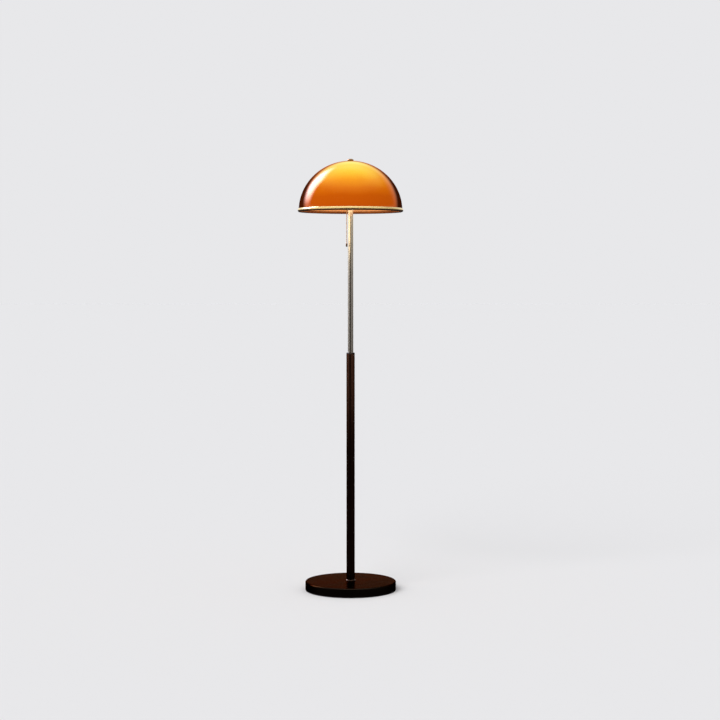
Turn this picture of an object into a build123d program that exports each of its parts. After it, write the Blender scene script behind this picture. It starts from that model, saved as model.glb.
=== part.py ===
from build123d import *
import os
from math import atan2, cos, degrees, sin, sqrt

os.makedirs("parts", exist_ok=True)

# Mushroom floor lamp, in millimetres. The origin is the centre of the base's
# underside on the floor, +Z is up the pole and -Y is the side that faces the viewer.
# The mast is drawn fully extended.

# ---- Driving dimensions -----------------------------------------------------

# Clearances
FIT_GAP = 0.1  # radial or axial, between pieces that are assembled and stay
RUNNING_GAP = 0.05  # radial, between a shaft and the bore it runs in
STOP_GAP = 0.5  # axial, left at a travel stop

# Base
BASE_DIAMETER = 300.0
BASE_HEIGHT = 30.5  # from the floor, felt pad included
BASE_EDGE_RADIUS = 4.0
COVER_WALL = 1.5
PAD_THICKNESS = 2.0
PAD_INSET = 1.0  # how far the pad stays inside the cover's outer edge
WEIGHT_THICKNESS = 13.0
WEIGHT_RIM_GAP = 0.5
HUB_RADIUS = 32.0
NUT_RECESS_RADIUS = 20.0
NUT_RECESS_DEPTH = 12.0
CORD_SLOT_WIDTH = 13.0
CORD_SLOT_OVERLAP = 2.7  # how far the slot reaches into the nut recess

# Cord gland in the rear of the cover
CORD_BORE_RADIUS = 3.3
GLAND_WALL = 1.3
GLAND_FLANGE_RADIUS = 6.0
GLAND_FLANGE_THICKNESS = 2.0
GLAND_COLLAR_RADIUS = 5.4
GLAND_COLLAR_THICKNESS = 2.0
GLAND_INNER_LENGTH = 10.0

# Threaded pipe and nuts, as used in lamps
NIPPLE_RADIUS = 5.0
NIPPLE_BORE_RADIUS = 3.5
NUT_ACROSS_FLATS = 14.0
LOCK_NUT_THICKNESS = 3.0
WASHER_RADIUS = 10.0
WASHER_THICKNESS = 1.5
NUT_THREAD_SHOWING = 1.0  # pipe that stands out past a nut

# Pole
FOOT_COLLAR_RADIUS = 15.5
FOOT_COLLAR_HEIGHT = 4.0
FOOT_COLLAR_EDGE = 1.5
LOWER_TUBE_RADIUS = 13.75
LOWER_TUBE_WALL = 1.2
LOWER_TUBE_LENGTH = 747.5
FOOT_PLUG_LENGTH = 20.0
FOOT_NIPPLE_ENGAGEMENT = 16.0
GUIDE_COLLAR_HEIGHT = 5.0
GUIDE_COLLAR_EDGE = 1.8
GUIDE_BUSH_LENGTH = 60.0
UPPER_TUBE_RADIUS = 9.0
UPPER_TUBE_WALL = 1.0
UPPER_TUBE_LENGTH = 564.0
SLIDER_LENGTH = 30.0
STOP_RING_HEIGHT = 2.0
STOP_RING_RADIUS = 11.0
END_CAP_FLANGE = 3.0
END_CAP_SPIGOT = 12.0
END_CAP_BORE_RADIUS = 4.0

# Head of the pole
TOP_PLUG_LENGTH = 20.0
TOP_PLUG_FLANGE = 3.0
TOP_PLUG_FLANGE_RADIUS = 11.0
TOP_NIPPLE_ENGAGEMENT = 15.0
HOUSING_RADIUS = 27.0
HOUSING_HEIGHT = 33.0
HOUSING_WALL = 1.2
HOUSING_EDGE_RADIUS = 2.0
LID_THICKNESS = 2.0
LID_RIM_DEPTH = 3.0
LID_RIM_WALL = 1.2
LID_WIRE_HOLE_RADIUS = 4.0

# Pull chain and its switch
CHAIN_X = -12.5
CHAIN_Y = -14.2
BEAD_RADIUS = 1.6
BEAD_PITCH = 4.3
BEAD_COUNT = 33
LINK_RADIUS = 0.6
CHAIN_CLEARANCE = 0.7  # around the beads in the switch's barrel
BEAD_SEAT_DEPTH = 3.4  # from a socket's mouth to the centre of its captive bead
PULL_TRAVEL = 8.0
PLUNGER_RADIUS = 3.15
PLUNGER_LENGTH = 8.0
SPRING_SOLID_LENGTH = 6.0  # with its coils pressed together
SPRING_WIRE = 0.6
SPRING_GAP = 0.35  # between the spring and the bore around it
SWITCH_INNER_FACE = 9.2  # from the pole's axis
SWITCH_DEPTH = 14.2
SWITCH_WIDTH = 16.0
SWITCH_ROOF = 2.4
SWITCH_FLOOR = 2.0
BARREL_WALL = 0.9
BARREL_LENGTH = 3.5  # below the housing's floor
RING_NUT_ACROSS_FLATS = 10.0
RING_NUT_THICKNESS = 1.8
KNOB_RADIUS = 3.15
KNOB_NECK_RADIUS = 2.3
KNOB_LENGTH = 11.0
KNOB_BELLY_HEIGHT = 3.6
KNOB_SHOULDER_SHARE = 0.65  # of the way from the neck's radius to the belly's, halfway up

# Lampholder and bulb, for a 27 mm screw cap
HOLDER_RADIUS = 19.0
HOLDER_HEIGHT = 42.0
HOLDER_FLOOR = 12.0
HOLDER_EDGE = 1.5
HOLDER_WIRE_HOLE_RADIUS = 2.0
SHELL_HEIGHT = 25.0
SHELL_WALL = 0.7
HOLDER_SCREW_OFFSET = 9.0
SCREW_RADIUS = 1.5
SCREW_HEAD_RADIUS = 2.8
SCREW_HEAD_HEIGHT = 1.8
SCREW_BELOW_LID = 1.5
TERMINAL_HEIGHT = 6.0
TERMINAL_LENGTH = 6.0
CONTACT_STRIP_WIDTH = 5.0
CONTACT_STRIP_LENGTH = 20.0
CONTACT_STRIP_THICKNESS = 0.6
CONTACT_BUTTON_RADIUS = 2.5
CONTACT_BUTTON_HEIGHT = 1.2
CONTACT_GAP = 0.3
CAP_RADIUS = 13.05
CAP_HEIGHT = 24.0
CAP_WALL = 0.5
CAP_FLOOR_THICKNESS = 1.0
CAP_CONTACT_RADIUS = 4.8
CAP_CONTACT_HEIGHT = 1.5
CAP_INSULATOR_RADIUS = 9.0
CAP_CONE_HEIGHT = 6.0
BULB_LENGTH = 78.0
GLOBE_RADIUS = 22.5
GLASS_WALL = 0.8
GLASS_SHOULDER_RADIUS = 10.0
GLASS_IN_CAP = 8.0
STEM_FOOT_HEIGHT = 6.0
STEM_HEIGHT = 25.0
STEM_RADIUS = 3.0
FILAMENT_WIRE_RADIUS = 0.4
FILAMENT_SPAN = 18.0
FILAMENT_RISE = 9.0

# Harp
SADDLE_WIDTH = 12.0
SADDLE_THICKNESS = 2.0
SADDLE_TAB_HEIGHT = 12.0
SADDLE_POST_HEIGHT = 8.0
SADDLE_POST_ROOT = 1.0  # how deep a post is set in its tab
HARP_WIRE_RADIUS = 2.0
HARP_FERRULE_WALL = 1.2
HARP_FERRULE_LENGTH = 18.0
HARP_HOUSING_GAP = 1.0
HARP_WIDTH = 104.0
HARP_FLARE_START = 34.0  # above the saddle, as are the next three
HARP_FLARE_END = 68.0
HARP_SHOULDER = 115.0
HARP_HEIGHT = 152.2
HARP_TOP_FLAT = 12.0
HARP_BENDS = (15.0, 30.0, 25.0, 12.0)
EYE_RADIUS = 7.5
EYE_THICKNESS = 4.5
STUD_RADIUS = 3.175
STUD_BOSS_RADIUS = 9.0
STUD_BOSS_HEIGHT = 5.0
STUD_HEAD_RADIUS = 5.0
STUD_HEAD_HEIGHT = 2.0

# Shade
DOME_RADIUS = 170.0
DOME_RISE = 163.0  # rim to crown
DOME_WALL = 3.0
DOME_HOLE_RADIUS = 4.2
RING_HEIGHT = 12.0
RING_PROUD = 3.5  # past the dome's rim
RING_FLOOR = 4.0  # under the dome's rim
RING_LIP_HEIGHT = 4.0  # inside the dome's rim
RING_LIP_WALL = 2.0
RING_EDGE = 1.5
GASKET_THICKNESS = 1.2
FINIAL_WASHER_RADIUS = 8.0
FINIAL_WASHER_THICKNESS = 0.8
FINIAL_RADIUS = 10.2
FINIAL_HEIGHT = 5.8
FINIAL_SKIRT = 1.4
FINIAL_BORE_DEPTH = 4.0
STUD_IN_FINIAL = 3.5

# ---- Levels and radii that follow from them ----------------------------------

base_radius = BASE_DIAMETER / 2
cover_inner_top = BASE_HEIGHT - COVER_WALL
weight_top = PAD_THICKNESS + WEIGHT_THICKNESS
recess_top = PAD_THICKNESS + NUT_RECESS_DEPTH
nipple_hole_radius = NIPPLE_RADIUS + FIT_GAP
gland_height = PAD_THICKNESS + CORD_SLOT_WIDTH / 2

foot_collar_top = BASE_HEIGHT + FOOT_COLLAR_HEIGHT
lower_tube_bore = LOWER_TUBE_RADIUS - LOWER_TUBE_WALL
lower_tube_top = foot_collar_top + LOWER_TUBE_LENGTH
guide_bottom = lower_tube_top - GUIDE_BUSH_LENGTH
upper_tube_bore = UPPER_TUBE_RADIUS - UPPER_TUBE_WALL
running_bore = UPPER_TUBE_RADIUS + RUNNING_GAP

stop_ring_top = guide_bottom - STOP_GAP
stop_ring_bottom = stop_ring_top - STOP_RING_HEIGHT
slider_top = stop_ring_bottom - FIT_GAP
slider_bottom = slider_top - SLIDER_LENGTH
upper_tube_bottom = slider_bottom - FIT_GAP
upper_tube_top = upper_tube_bottom + UPPER_TUBE_LENGTH

top_plug_top = upper_tube_top + TOP_PLUG_FLANGE
saddle_top = top_plug_top + SADDLE_THICKNESS
housing_floor = saddle_top + HOUSING_WALL
housing_bore = HOUSING_RADIUS - HOUSING_WALL
housing_top = saddle_top + HOUSING_HEIGHT
lid_top = housing_top + LID_THICKNESS

chain_angle = degrees(atan2(CHAIN_Y, CHAIN_X))
chain_bore = BEAD_RADIUS + CHAIN_CLEARANCE
barrel_radius = chain_bore + BARREL_WALL
plunger_bore = PLUNGER_RADIUS + RUNNING_GAP
spring_bottom = housing_floor + SWITCH_FLOOR
plunger_bottom = spring_bottom + SPRING_SOLID_LENGTH + PULL_TRAVEL
plunger_top = plunger_bottom + PLUNGER_LENGTH
switch_bore_top = plunger_top + STOP_GAP
switch_top = switch_bore_top + SWITCH_ROOF
bead_socket_radius = BEAD_RADIUS + FIT_GAP
first_bead = plunger_bottom + BEAD_SEAT_DEPTH
last_bead = first_bead - (BEAD_COUNT - 1) * BEAD_PITCH
knob_top = last_bead + BEAD_SEAT_DEPTH

holder_floor = lid_top + HOLDER_FLOOR
holder_top = lid_top + HOLDER_HEIGHT
shell_bore = CAP_RADIUS + RUNNING_GAP
shell_radius = shell_bore + SHELL_WALL
contact_top = holder_floor + CONTACT_STRIP_THICKNESS + CONTACT_BUTTON_HEIGHT
bulb_bottom = contact_top + CONTACT_GAP
cap_top = bulb_bottom + CAP_HEIGHT
globe_centre = bulb_bottom + BULB_LENGTH - GLOBE_RADIUS
neck_radius = CAP_RADIUS - CAP_WALL - FIT_GAP
neck_bottom = cap_top - GLASS_IN_CAP
stem_top = neck_bottom + STEM_HEIGHT

ferrule_radius = HARP_WIRE_RADIUS + FIT_GAP + HARP_FERRULE_WALL
harp_foot = HOUSING_RADIUS + HARP_HOUSING_GAP + ferrule_radius
tab_top = top_plug_top + SADDLE_TAB_HEIGHT
post_top = tab_top + SADDLE_POST_HEIGHT
boss_top = saddle_top + HARP_HEIGHT
eye_top = boss_top - STUD_BOSS_HEIGHT
eye_bottom = eye_top - EYE_THICKNESS
eye_middle = (eye_top + eye_bottom) / 2
gasket_top = boss_top + GASKET_THICKNESS

inner_radius = DOME_RADIUS - DOME_WALL
inner_rise = DOME_RISE - DOME_WALL


def share_of_rise(height_or_radius, full):
    """How much of an ellipse's other half-axis is left at this distance from its centre."""
    return sqrt(1 - (height_or_radius / full) ** 2)


dome_rim = gasket_top + RUNNING_GAP - inner_rise * share_of_rise(STUD_BOSS_RADIUS, inner_radius)
dome_crown = dome_rim + DOME_RISE
ring_bottom = dome_rim - RING_FLOOR
ring_top = ring_bottom + RING_HEIGHT
finial_bottom = dome_crown + FINIAL_WASHER_THICKNESS
stud_top = finial_bottom + STUD_IN_FINIAL


# ---- Shapes used by several pieces ---------------------------------------------

FROM_BELOW = (Align.CENTER, Align.CENTER, Align.MIN)


def disc(radius, bottom, top):
    """A solid cylinder about the pole's axis."""
    return Pos(0, 0, bottom) * Cylinder(radius, top - bottom, align=FROM_BELOW)


def sleeve(radius, bore_radius, bottom, top):
    """A tube or washer about the pole's axis."""
    return disc(radius, bottom, top) - disc(bore_radius, bottom, top)


def hex_nut(across_flats, bore_radius, bottom, top):
    """A hexagonal nut about the pole's axis."""
    hexagon = RegularPolygon(across_flats / 2, 6, major_radius=False)
    blank = Pos(0, 0, bottom) * extrude(hexagon, top - bottom)
    return blank - disc(bore_radius, bottom, top)


def turned(profile):
    """A profile drawn in radius and height, turned about the pole's axis."""
    return revolve(Plane.XZ * profile, Axis.Z)


def oval(half_width, half_height):
    """A full ellipse about the origin, drawn as a stretched circle."""
    return scale(Circle(half_width), by=(1, half_height / half_width, 1))


def round_top_edge(solid, radius):
    """The same solid with its outermost top edge rounded."""
    top_edges = solid.edges().group_by(Axis.Z)[-1]
    return fillet(top_edges.sort_by(SortBy.LENGTH)[-1:], radius)


def at_chain(solid):
    """Moves a solid from the pole's axis to the pull chain's line."""
    return Pos(CHAIN_X, CHAIN_Y, 0) * solid


# ---- Base ------------------------------------------------------------------------


def make_base_pad():
    """Felt disc that the lamp stands on; it closes the weight's nut recess."""
    return disc(base_radius - PAD_INSET, 0, PAD_THICKNESS)


def cover_shape(inset):
    """The cover's outer form, or its inside when inset by the wall."""
    blank = disc(base_radius - inset, PAD_THICKNESS, BASE_HEIGHT - inset)
    return round_top_edge(blank, BASE_EDGE_RADIUS - inset)


def along_rear(solid, outer_face):
    """Lays a solid drawn along +Z on the gland's axis, with its zero at outer_face."""
    return Pos(0, outer_face, gland_height) * Rot(-90, 0, 0) * solid


def make_base_cover():
    """Spun steel shell with a rounded edge, a pole hole and a rear hole for the gland."""
    gland_hole = CORD_BORE_RADIUS + GLAND_WALL + FIT_GAP
    cover = cover_shape(0) - cover_shape(COVER_WALL)
    cover -= disc(nipple_hole_radius, cover_inner_top, BASE_HEIGHT)
    return cover - along_rear(disc(gland_hole, -2 * COVER_WALL, COVER_WALL), base_radius)


def make_base_weight():
    """Cast-iron disc: a hub up to the cover, a nut recess below and a slot for the cord."""
    rim = base_radius - COVER_WALL - WEIGHT_RIM_GAP
    weight = disc(rim, PAD_THICKNESS, weight_top) + disc(HUB_RADIUS, recess_top, cover_inner_top)
    weight -= disc(NUT_RECESS_RADIUS, PAD_THICKNESS, recess_top)
    weight -= disc(nipple_hole_radius, recess_top, cover_inner_top)
    slot_start = NUT_RECESS_RADIUS - CORD_SLOT_OVERLAP
    slot = Box(CORD_SLOT_WIDTH, base_radius - slot_start, WEIGHT_THICKNESS)
    slot_middle = (slot_start + base_radius) / 2
    return weight - Pos(0, slot_middle, (PAD_THICKNESS + weight_top) / 2) * slot


def make_cord_gland():
    """Snap-in bush: a flange outside the cover, a collar inside it and a bore for the cord."""
    barrel = CORD_BORE_RADIUS + GLAND_WALL
    cover_inside = base_radius - COVER_WALL
    collar_face = cover_inside * share_of_rise(GLAND_COLLAR_RADIUS, cover_inside) - FIT_GAP
    collar_top = collar_face - base_radius
    gland = disc(GLAND_FLANGE_RADIUS, 0, GLAND_FLANGE_THICKNESS)
    gland = round_top_edge(gland, GLAND_FLANGE_THICKNESS / 2)
    gland += disc(barrel, -COVER_WALL - GLAND_INNER_LENGTH, 0)
    gland += disc(GLAND_COLLAR_RADIUS, collar_top - GLAND_COLLAR_THICKNESS, collar_top)
    gland -= disc(CORD_BORE_RADIUS, -COVER_WALL - GLAND_INNER_LENGTH, GLAND_FLANGE_THICKNESS)
    return along_rear(gland, base_radius)


def make_base_lock_washer():
    return sleeve(WASHER_RADIUS, nipple_hole_radius, recess_top - WASHER_THICKNESS, recess_top)


def make_base_lock_nut():
    nut_top = recess_top - WASHER_THICKNESS
    return hex_nut(NUT_ACROSS_FLATS, nipple_hole_radius, nut_top - LOCK_NUT_THICKNESS, nut_top)


def make_base_nipple():
    """Hollow threaded pipe that clamps weight, cover, collar and pole together."""
    bottom = recess_top - WASHER_THICKNESS - LOCK_NUT_THICKNESS - NUT_THREAD_SHOWING
    top = foot_collar_top + FOOT_NIPPLE_ENGAGEMENT
    return sleeve(NIPPLE_RADIUS, NIPPLE_BORE_RADIUS, bottom, top)


# ---- Pole ------------------------------------------------------------------------


def make_foot_collar():
    """Low turned ring between the base and the pole."""
    collar = round_top_edge(disc(FOOT_COLLAR_RADIUS, BASE_HEIGHT, foot_collar_top), FOOT_COLLAR_EDGE)
    return collar - disc(nipple_hole_radius, BASE_HEIGHT, foot_collar_top)


def make_pole_foot_plug():
    """Threaded insert pressed into the foot of the lower tube."""
    radius = lower_tube_bore - FIT_GAP
    return sleeve(radius, nipple_hole_radius, foot_collar_top, foot_collar_top + FOOT_PLUG_LENGTH)


def make_lower_tube():
    return sleeve(LOWER_TUBE_RADIUS, lower_tube_bore, foot_collar_top, lower_tube_top)


def make_guide_bush():
    """Bush in the mouth of the lower tube, with a rounded collar that closes it."""
    collar = disc(LOWER_TUBE_RADIUS, lower_tube_top, lower_tube_top + GUIDE_COLLAR_HEIGHT)
    collar = round_top_edge(collar, GUIDE_COLLAR_EDGE)
    body = disc(lower_tube_bore - FIT_GAP, guide_bottom, lower_tube_top)
    return collar + body - disc(running_bore, guide_bottom, lower_tube_top + GUIDE_COLLAR_HEIGHT)


def make_slider_bush():
    """Ring that runs in the lower tube and carries the foot of the upper tube."""
    return sleeve(lower_tube_bore - RUNNING_GAP, running_bore, slider_bottom, slider_top)


def make_upper_tube():
    return sleeve(UPPER_TUBE_RADIUS, upper_tube_bore, upper_tube_bottom, upper_tube_top)


def make_tube_end_cap():
    """Flanged cap in the upper tube's foot, which holds the slider bush up."""
    cap = disc(STOP_RING_RADIUS, upper_tube_bottom - END_CAP_FLANGE, upper_tube_bottom)
    cap += disc(upper_tube_bore - FIT_GAP, upper_tube_bottom, upper_tube_bottom + END_CAP_SPIGOT)
    bottom = upper_tube_bottom - END_CAP_FLANGE
    return cap - disc(END_CAP_BORE_RADIUS, bottom, upper_tube_bottom + END_CAP_SPIGOT)


def make_stop_ring():
    """Ring pressed on the upper tube above the slider bush; it meets the guide bush."""
    return sleeve(STOP_RING_RADIUS, running_bore, stop_ring_bottom, stop_ring_top)


# ---- Head of the pole --------------------------------------------------------------


def make_tube_top_plug():
    """Flanged threaded plug in the top of the upper tube."""
    bottom = upper_tube_top - TOP_PLUG_LENGTH
    plug = disc(upper_tube_bore - FIT_GAP, bottom, upper_tube_top)
    plug += disc(TOP_PLUG_FLANGE_RADIUS, upper_tube_top, top_plug_top)
    return plug - disc(nipple_hole_radius, bottom, top_plug_top)


def make_top_nipple():
    """Hollow threaded pipe that clamps plug, saddle and switch housing together."""
    top = housing_floor + LOCK_NUT_THICKNESS + NUT_THREAD_SHOWING
    return sleeve(NIPPLE_RADIUS, NIPPLE_BORE_RADIUS, upper_tube_top - TOP_NIPPLE_ENGAGEMENT, top)


def make_housing_lock_nut():
    top = housing_floor + LOCK_NUT_THICKNESS
    return hex_nut(NUT_ACROSS_FLATS, nipple_hole_radius, housing_floor, top)


def make_harp_saddle():
    """Strap across the pole's top, bent up at both ends into tabs with round posts."""
    saddle = Pos(0, 0, (top_plug_top + saddle_top) / 2) * Box(
        2 * harp_foot + SADDLE_THICKNESS, SADDLE_WIDTH, SADDLE_THICKNESS
    )
    tab = Box(SADDLE_THICKNESS, SADDLE_WIDTH, SADDLE_TAB_HEIGHT)
    for side in (-1, 1):
        saddle += Pos(side * harp_foot, 0, (top_plug_top + tab_top) / 2) * tab
        saddle += Pos(side * harp_foot, 0, 0) * disc(HARP_WIRE_RADIUS, tab_top - SADDLE_POST_ROOT, post_top)
    return saddle - disc(nipple_hole_radius, top_plug_top, saddle_top)


def make_switch_housing():
    """Drawn cup that holds the pull switch under the lampholder."""
    outside = disc(HOUSING_RADIUS, saddle_top, housing_top)
    outside = fillet(outside.edges().group_by(Axis.Z)[0], HOUSING_EDGE_RADIUS)
    inside = disc(housing_bore, housing_floor, housing_top)
    inside = fillet(inside.edges().group_by(Axis.Z)[0], HOUSING_EDGE_RADIUS - HOUSING_WALL)
    housing = outside - inside - disc(nipple_hole_radius, saddle_top, housing_floor)
    return housing - at_chain(disc(barrel_radius + FIT_GAP, saddle_top, housing_floor))


def make_housing_lid():
    """Lid pressed into the cup; it carries the lampholder."""
    rim_radius = housing_bore - FIT_GAP
    lid = disc(HOUSING_RADIUS, housing_top, lid_top)
    lid += sleeve(rim_radius, rim_radius - LID_RIM_WALL, housing_top - LID_RIM_DEPTH, housing_top)
    lid -= disc(LID_WIRE_HOLE_RADIUS, housing_top, lid_top)
    screw_hole = disc(SCREW_RADIUS + FIT_GAP, housing_top, lid_top)
    for side in (-1, 1):
        lid -= Pos(side * HOLDER_SCREW_OFFSET, 0, 0) * screw_hole
    return lid


# ---- Pull switch, chain and knob ---------------------------------------------------


def make_pull_switch_body():
    """Block on the housing's floor, bored for the plunger, with a barrel out below."""
    block = Box(SWITCH_DEPTH, SWITCH_WIDTH, switch_top - housing_floor)
    middle = SWITCH_INNER_FACE + SWITCH_DEPTH / 2
    body = Rot(0, 0, chain_angle) * Pos(middle, 0, (housing_floor + switch_top) / 2) * block
    body += at_chain(disc(barrel_radius, saddle_top - BARREL_LENGTH, housing_floor))
    body -= at_chain(disc(chain_bore, saddle_top - BARREL_LENGTH, spring_bottom))
    return body - at_chain(disc(plunger_bore, spring_bottom, switch_bore_top))


def make_switch_ring_nut():
    """Thin nut that holds the switch's barrel in the housing's floor."""
    bottom = saddle_top - RING_NUT_THICKNESS
    nut = hex_nut(RING_NUT_ACROSS_FLATS, barrel_radius + FIT_GAP, bottom, saddle_top)
    return at_chain(nut)


def make_return_spring():
    """Compression spring round the chain, drawn as the sleeve that its wire fills."""
    radius = plunger_bore - SPRING_GAP
    bore = radius - SPRING_WIRE
    return at_chain(sleeve(radius, bore, spring_bottom, plunger_bottom))


def bead_socket(mouth, direction):
    """Blind bore that holds a captive bead, going up (1) or down (-1) from its mouth."""
    end = mouth + direction * (BEAD_SEAT_DEPTH + bead_socket_radius)
    return disc(bead_socket_radius, min(mouth, end), max(mouth, end))


def make_switch_plunger():
    """Slider in the switch body; the chain's first bead is held in its socket."""
    plunger = disc(PLUNGER_RADIUS, plunger_bottom, plunger_top)
    return at_chain(plunger - bead_socket(plunger_bottom, 1))


def make_pull_chain():
    """Bead chain: round beads on one thin link line."""
    chain = disc(LINK_RADIUS, last_bead, first_bead)
    beads = [Pos(0, 0, first_bead - n * BEAD_PITCH) * Sphere(BEAD_RADIUS) for n in range(BEAD_COUNT)]
    return at_chain(chain + beads)


def make_pull_knob():
    """Small bell that grips the chain's last bead."""
    bottom = knob_top - KNOB_LENGTH
    belly = bottom + KNOB_BELLY_HEIGHT
    shoulder = (belly + knob_top) / 2
    shoulder_radius = KNOB_NECK_RADIUS + KNOB_SHOULDER_SHARE * (KNOB_RADIUS - KNOB_NECK_RADIUS)
    bell = make_face(
        [
            Line((0, belly), (0, knob_top)),
            Line((0, knob_top), (KNOB_NECK_RADIUS, knob_top)),
            ThreePointArc(
                (KNOB_NECK_RADIUS, knob_top), (shoulder_radius, shoulder), (KNOB_RADIUS, belly)
            ),
            Line((KNOB_RADIUS, belly), (0, belly)),
        ]
    )
    bowl = oval(KNOB_RADIUS, KNOB_BELLY_HEIGHT) & Rectangle(
        KNOB_RADIUS, KNOB_BELLY_HEIGHT, align=(Align.MIN, Align.MAX)
    )
    knob = turned(bell) + turned(Pos(0, belly) * bowl)
    return at_chain(knob - bead_socket(knob_top, -1))


# ---- Lampholder and bulb ------------------------------------------------------------


def terminal_places():
    """Where the two terminal screws enter the lampholder, on its front and rear."""
    for turn in (-90, 90):
        yield Rot(0, 0, turn) * Pos(HOLDER_RADIUS, 0, lid_top + TERMINAL_HEIGHT) * Rot(0, 90, 0)


def make_lampholder_body():
    """Ceramic cup for the screw shell, with holes for its screws, terminals and wires."""
    body = disc(HOLDER_RADIUS, lid_top, holder_top)
    body = round_top_edge(body, HOLDER_EDGE)
    body -= disc(shell_radius + FIT_GAP, holder_floor, holder_top)
    body -= disc(HOLDER_WIRE_HOLE_RADIUS, lid_top, holder_floor)
    for side in (-1, 1):
        body -= Pos(side * HOLDER_SCREW_OFFSET, 0, 0) * disc(SCREW_RADIUS + FIT_GAP, lid_top, holder_floor)
    for place in terminal_places():
        body -= place * disc(SCREW_RADIUS + FIT_GAP, -TERMINAL_LENGTH - FIT_GAP, SCREW_HEAD_HEIGHT)
    return body


def make_lampholder_shell():
    """Threaded brass shell, drawn at its thread's inner radius."""
    return sleeve(shell_radius, shell_bore, holder_floor, holder_floor + SHELL_HEIGHT)


def make_centre_contact():
    """Brass strip across the holder's floor with a raised button under the bulb."""
    strip = Box(CONTACT_STRIP_WIDTH, CONTACT_STRIP_LENGTH, CONTACT_STRIP_THICKNESS)
    strip = Pos(0, 0, holder_floor + CONTACT_STRIP_THICKNESS / 2) * strip
    return strip + disc(CONTACT_BUTTON_RADIUS, holder_floor, contact_top)


def make_lampholder_screws():
    """Two screws from the holder's floor down through the lid."""
    shank = disc(SCREW_RADIUS, housing_top - SCREW_BELOW_LID, holder_floor)
    screw = shank + disc(SCREW_HEAD_RADIUS, holder_floor, holder_floor + SCREW_HEAD_HEIGHT)
    return Compound(children=[Pos(side * HOLDER_SCREW_OFFSET, 0, 0) * screw for side in (-1, 1)])


def make_terminal_screws():
    """Two screws in the sides of the holder for the supply wires."""
    head = disc(SCREW_HEAD_RADIUS, FIT_GAP, SCREW_HEAD_HEIGHT)
    screw = disc(SCREW_RADIUS, -TERMINAL_LENGTH, FIT_GAP) + head
    return Compound(children=[place * screw for place in terminal_places()])


def make_bulb_cap():
    """Screw cap with its insulator cone and centre contact, drawn at its thread's outer radius."""
    inside = CAP_RADIUS - CAP_WALL
    floor = CAP_CONTACT_HEIGHT + CAP_FLOOR_THICKNESS
    outline = [
        (0, 0),
        (CAP_CONTACT_RADIUS, 0),
        (CAP_CONTACT_RADIUS, CAP_CONTACT_HEIGHT),
        (CAP_INSULATOR_RADIUS, CAP_CONTACT_HEIGHT),
        (CAP_RADIUS, CAP_CONE_HEIGHT),
        (CAP_RADIUS, CAP_HEIGHT),
        (inside, CAP_HEIGHT),
        (inside, CAP_CONE_HEIGHT + CAP_WALL),
        (CAP_INSULATOR_RADIUS - CAP_WALL, floor),
        (0, floor),
    ]
    return Pos(0, 0, bulb_bottom) * turned(Polygon(*outline, align=None))


def globe_shape(inset):
    """A globe on a neck, joined by a tangent shoulder; inset gives its inside."""
    globe = GLOBE_RADIUS - inset
    neck = neck_radius - inset
    shoulder = GLASS_SHOULDER_RADIUS + inset
    reach = neck + shoulder
    drop = sqrt((globe + shoulder) ** 2 - reach**2)
    shoulder_height = globe_centre - drop
    meet = globe / (globe + shoulder)
    meet_radius = reach * meet
    meet_height = globe_centre - drop * meet
    half_turn = atan2(drop, reach) / 2
    middle_radius = reach - shoulder * cos(half_turn)
    middle_height = shoulder_height + shoulder * sin(half_turn)
    top = globe_centre + globe
    profile = make_face(
        [
            Line((0, neck_bottom), (neck, neck_bottom)),
            Line((neck, neck_bottom), (neck, shoulder_height)),
            ThreePointArc(
                (neck, shoulder_height), (middle_radius, middle_height), (meet_radius, meet_height)
            ),
            ThreePointArc((meet_radius, meet_height), (globe, globe_centre), (0, top)),
            Line((0, top), (0, neck_bottom)),
        ]
    )
    return turned(profile)


def make_bulb_glass():
    return globe_shape(0) - globe_shape(GLASS_WALL)


def make_bulb_stem():
    """Glass mount inside the bulb."""
    foot_radius = neck_radius - GLASS_WALL - FIT_GAP
    outline = [
        (0, neck_bottom),
        (foot_radius, neck_bottom),
        (STEM_RADIUS + GLASS_WALL, neck_bottom + STEM_FOOT_HEIGHT),
        (STEM_RADIUS, stem_top),
        (0, stem_top),
    ]
    return turned(Polygon(*outline, align=None))


def make_bulb_filament():
    """Fine wire loop that stands on the stem."""
    foot = STEM_RADIUS / 2
    foot_height = stem_top + FILAMENT_WIRE_RADIUS
    half_span = FILAMENT_SPAN / 2
    lift = stem_top + FILAMENT_RISE
    points = [(-foot, foot_height), (-half_span, lift), (half_span, lift), (foot, foot_height)]
    path = Plane.XZ * FilletPolyline(*points, radius=FILAMENT_RISE / 4)
    start = Plane(origin=path @ 0, z_dir=path % 0)
    return sweep(start * Circle(FILAMENT_WIRE_RADIUS), path=path)


# ---- Harp -----------------------------------------------------------------------------


def make_harp():
    """Bent wire bow around the bulb, with a flat eye at its top for the stud."""
    points = [
        (harp_foot, post_top + FIT_GAP),
        (harp_foot, saddle_top + HARP_FLARE_START),
        (HARP_WIDTH / 2, saddle_top + HARP_FLARE_END),
        (HARP_WIDTH / 2, saddle_top + HARP_SHOULDER),
        (HARP_TOP_FLAT, eye_middle),
        (EYE_RADIUS - HARP_WIRE_RADIUS, eye_middle),
    ]
    path = Plane.XZ * FilletPolyline(*points, radius=HARP_BENDS)
    start = Plane(origin=path @ 0, z_dir=path % 0)
    leg = sweep(start * Circle(HARP_WIRE_RADIUS), path=path)
    harp = disc(EYE_RADIUS, eye_bottom, eye_top) + leg + mirror(leg, Plane.YZ)
    return harp - disc(STUD_RADIUS + FIT_GAP, eye_bottom, eye_top)


def make_harp_ferrules():
    """Two sleeves that lock the harp's legs to the saddle's posts."""
    bottom = tab_top + FIT_GAP
    ferrule = sleeve(ferrule_radius, HARP_WIRE_RADIUS + FIT_GAP, bottom, bottom + HARP_FERRULE_LENGTH)
    return Compound(children=[Pos(side * harp_foot, 0, 0) * ferrule for side in (-1, 1)])


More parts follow.
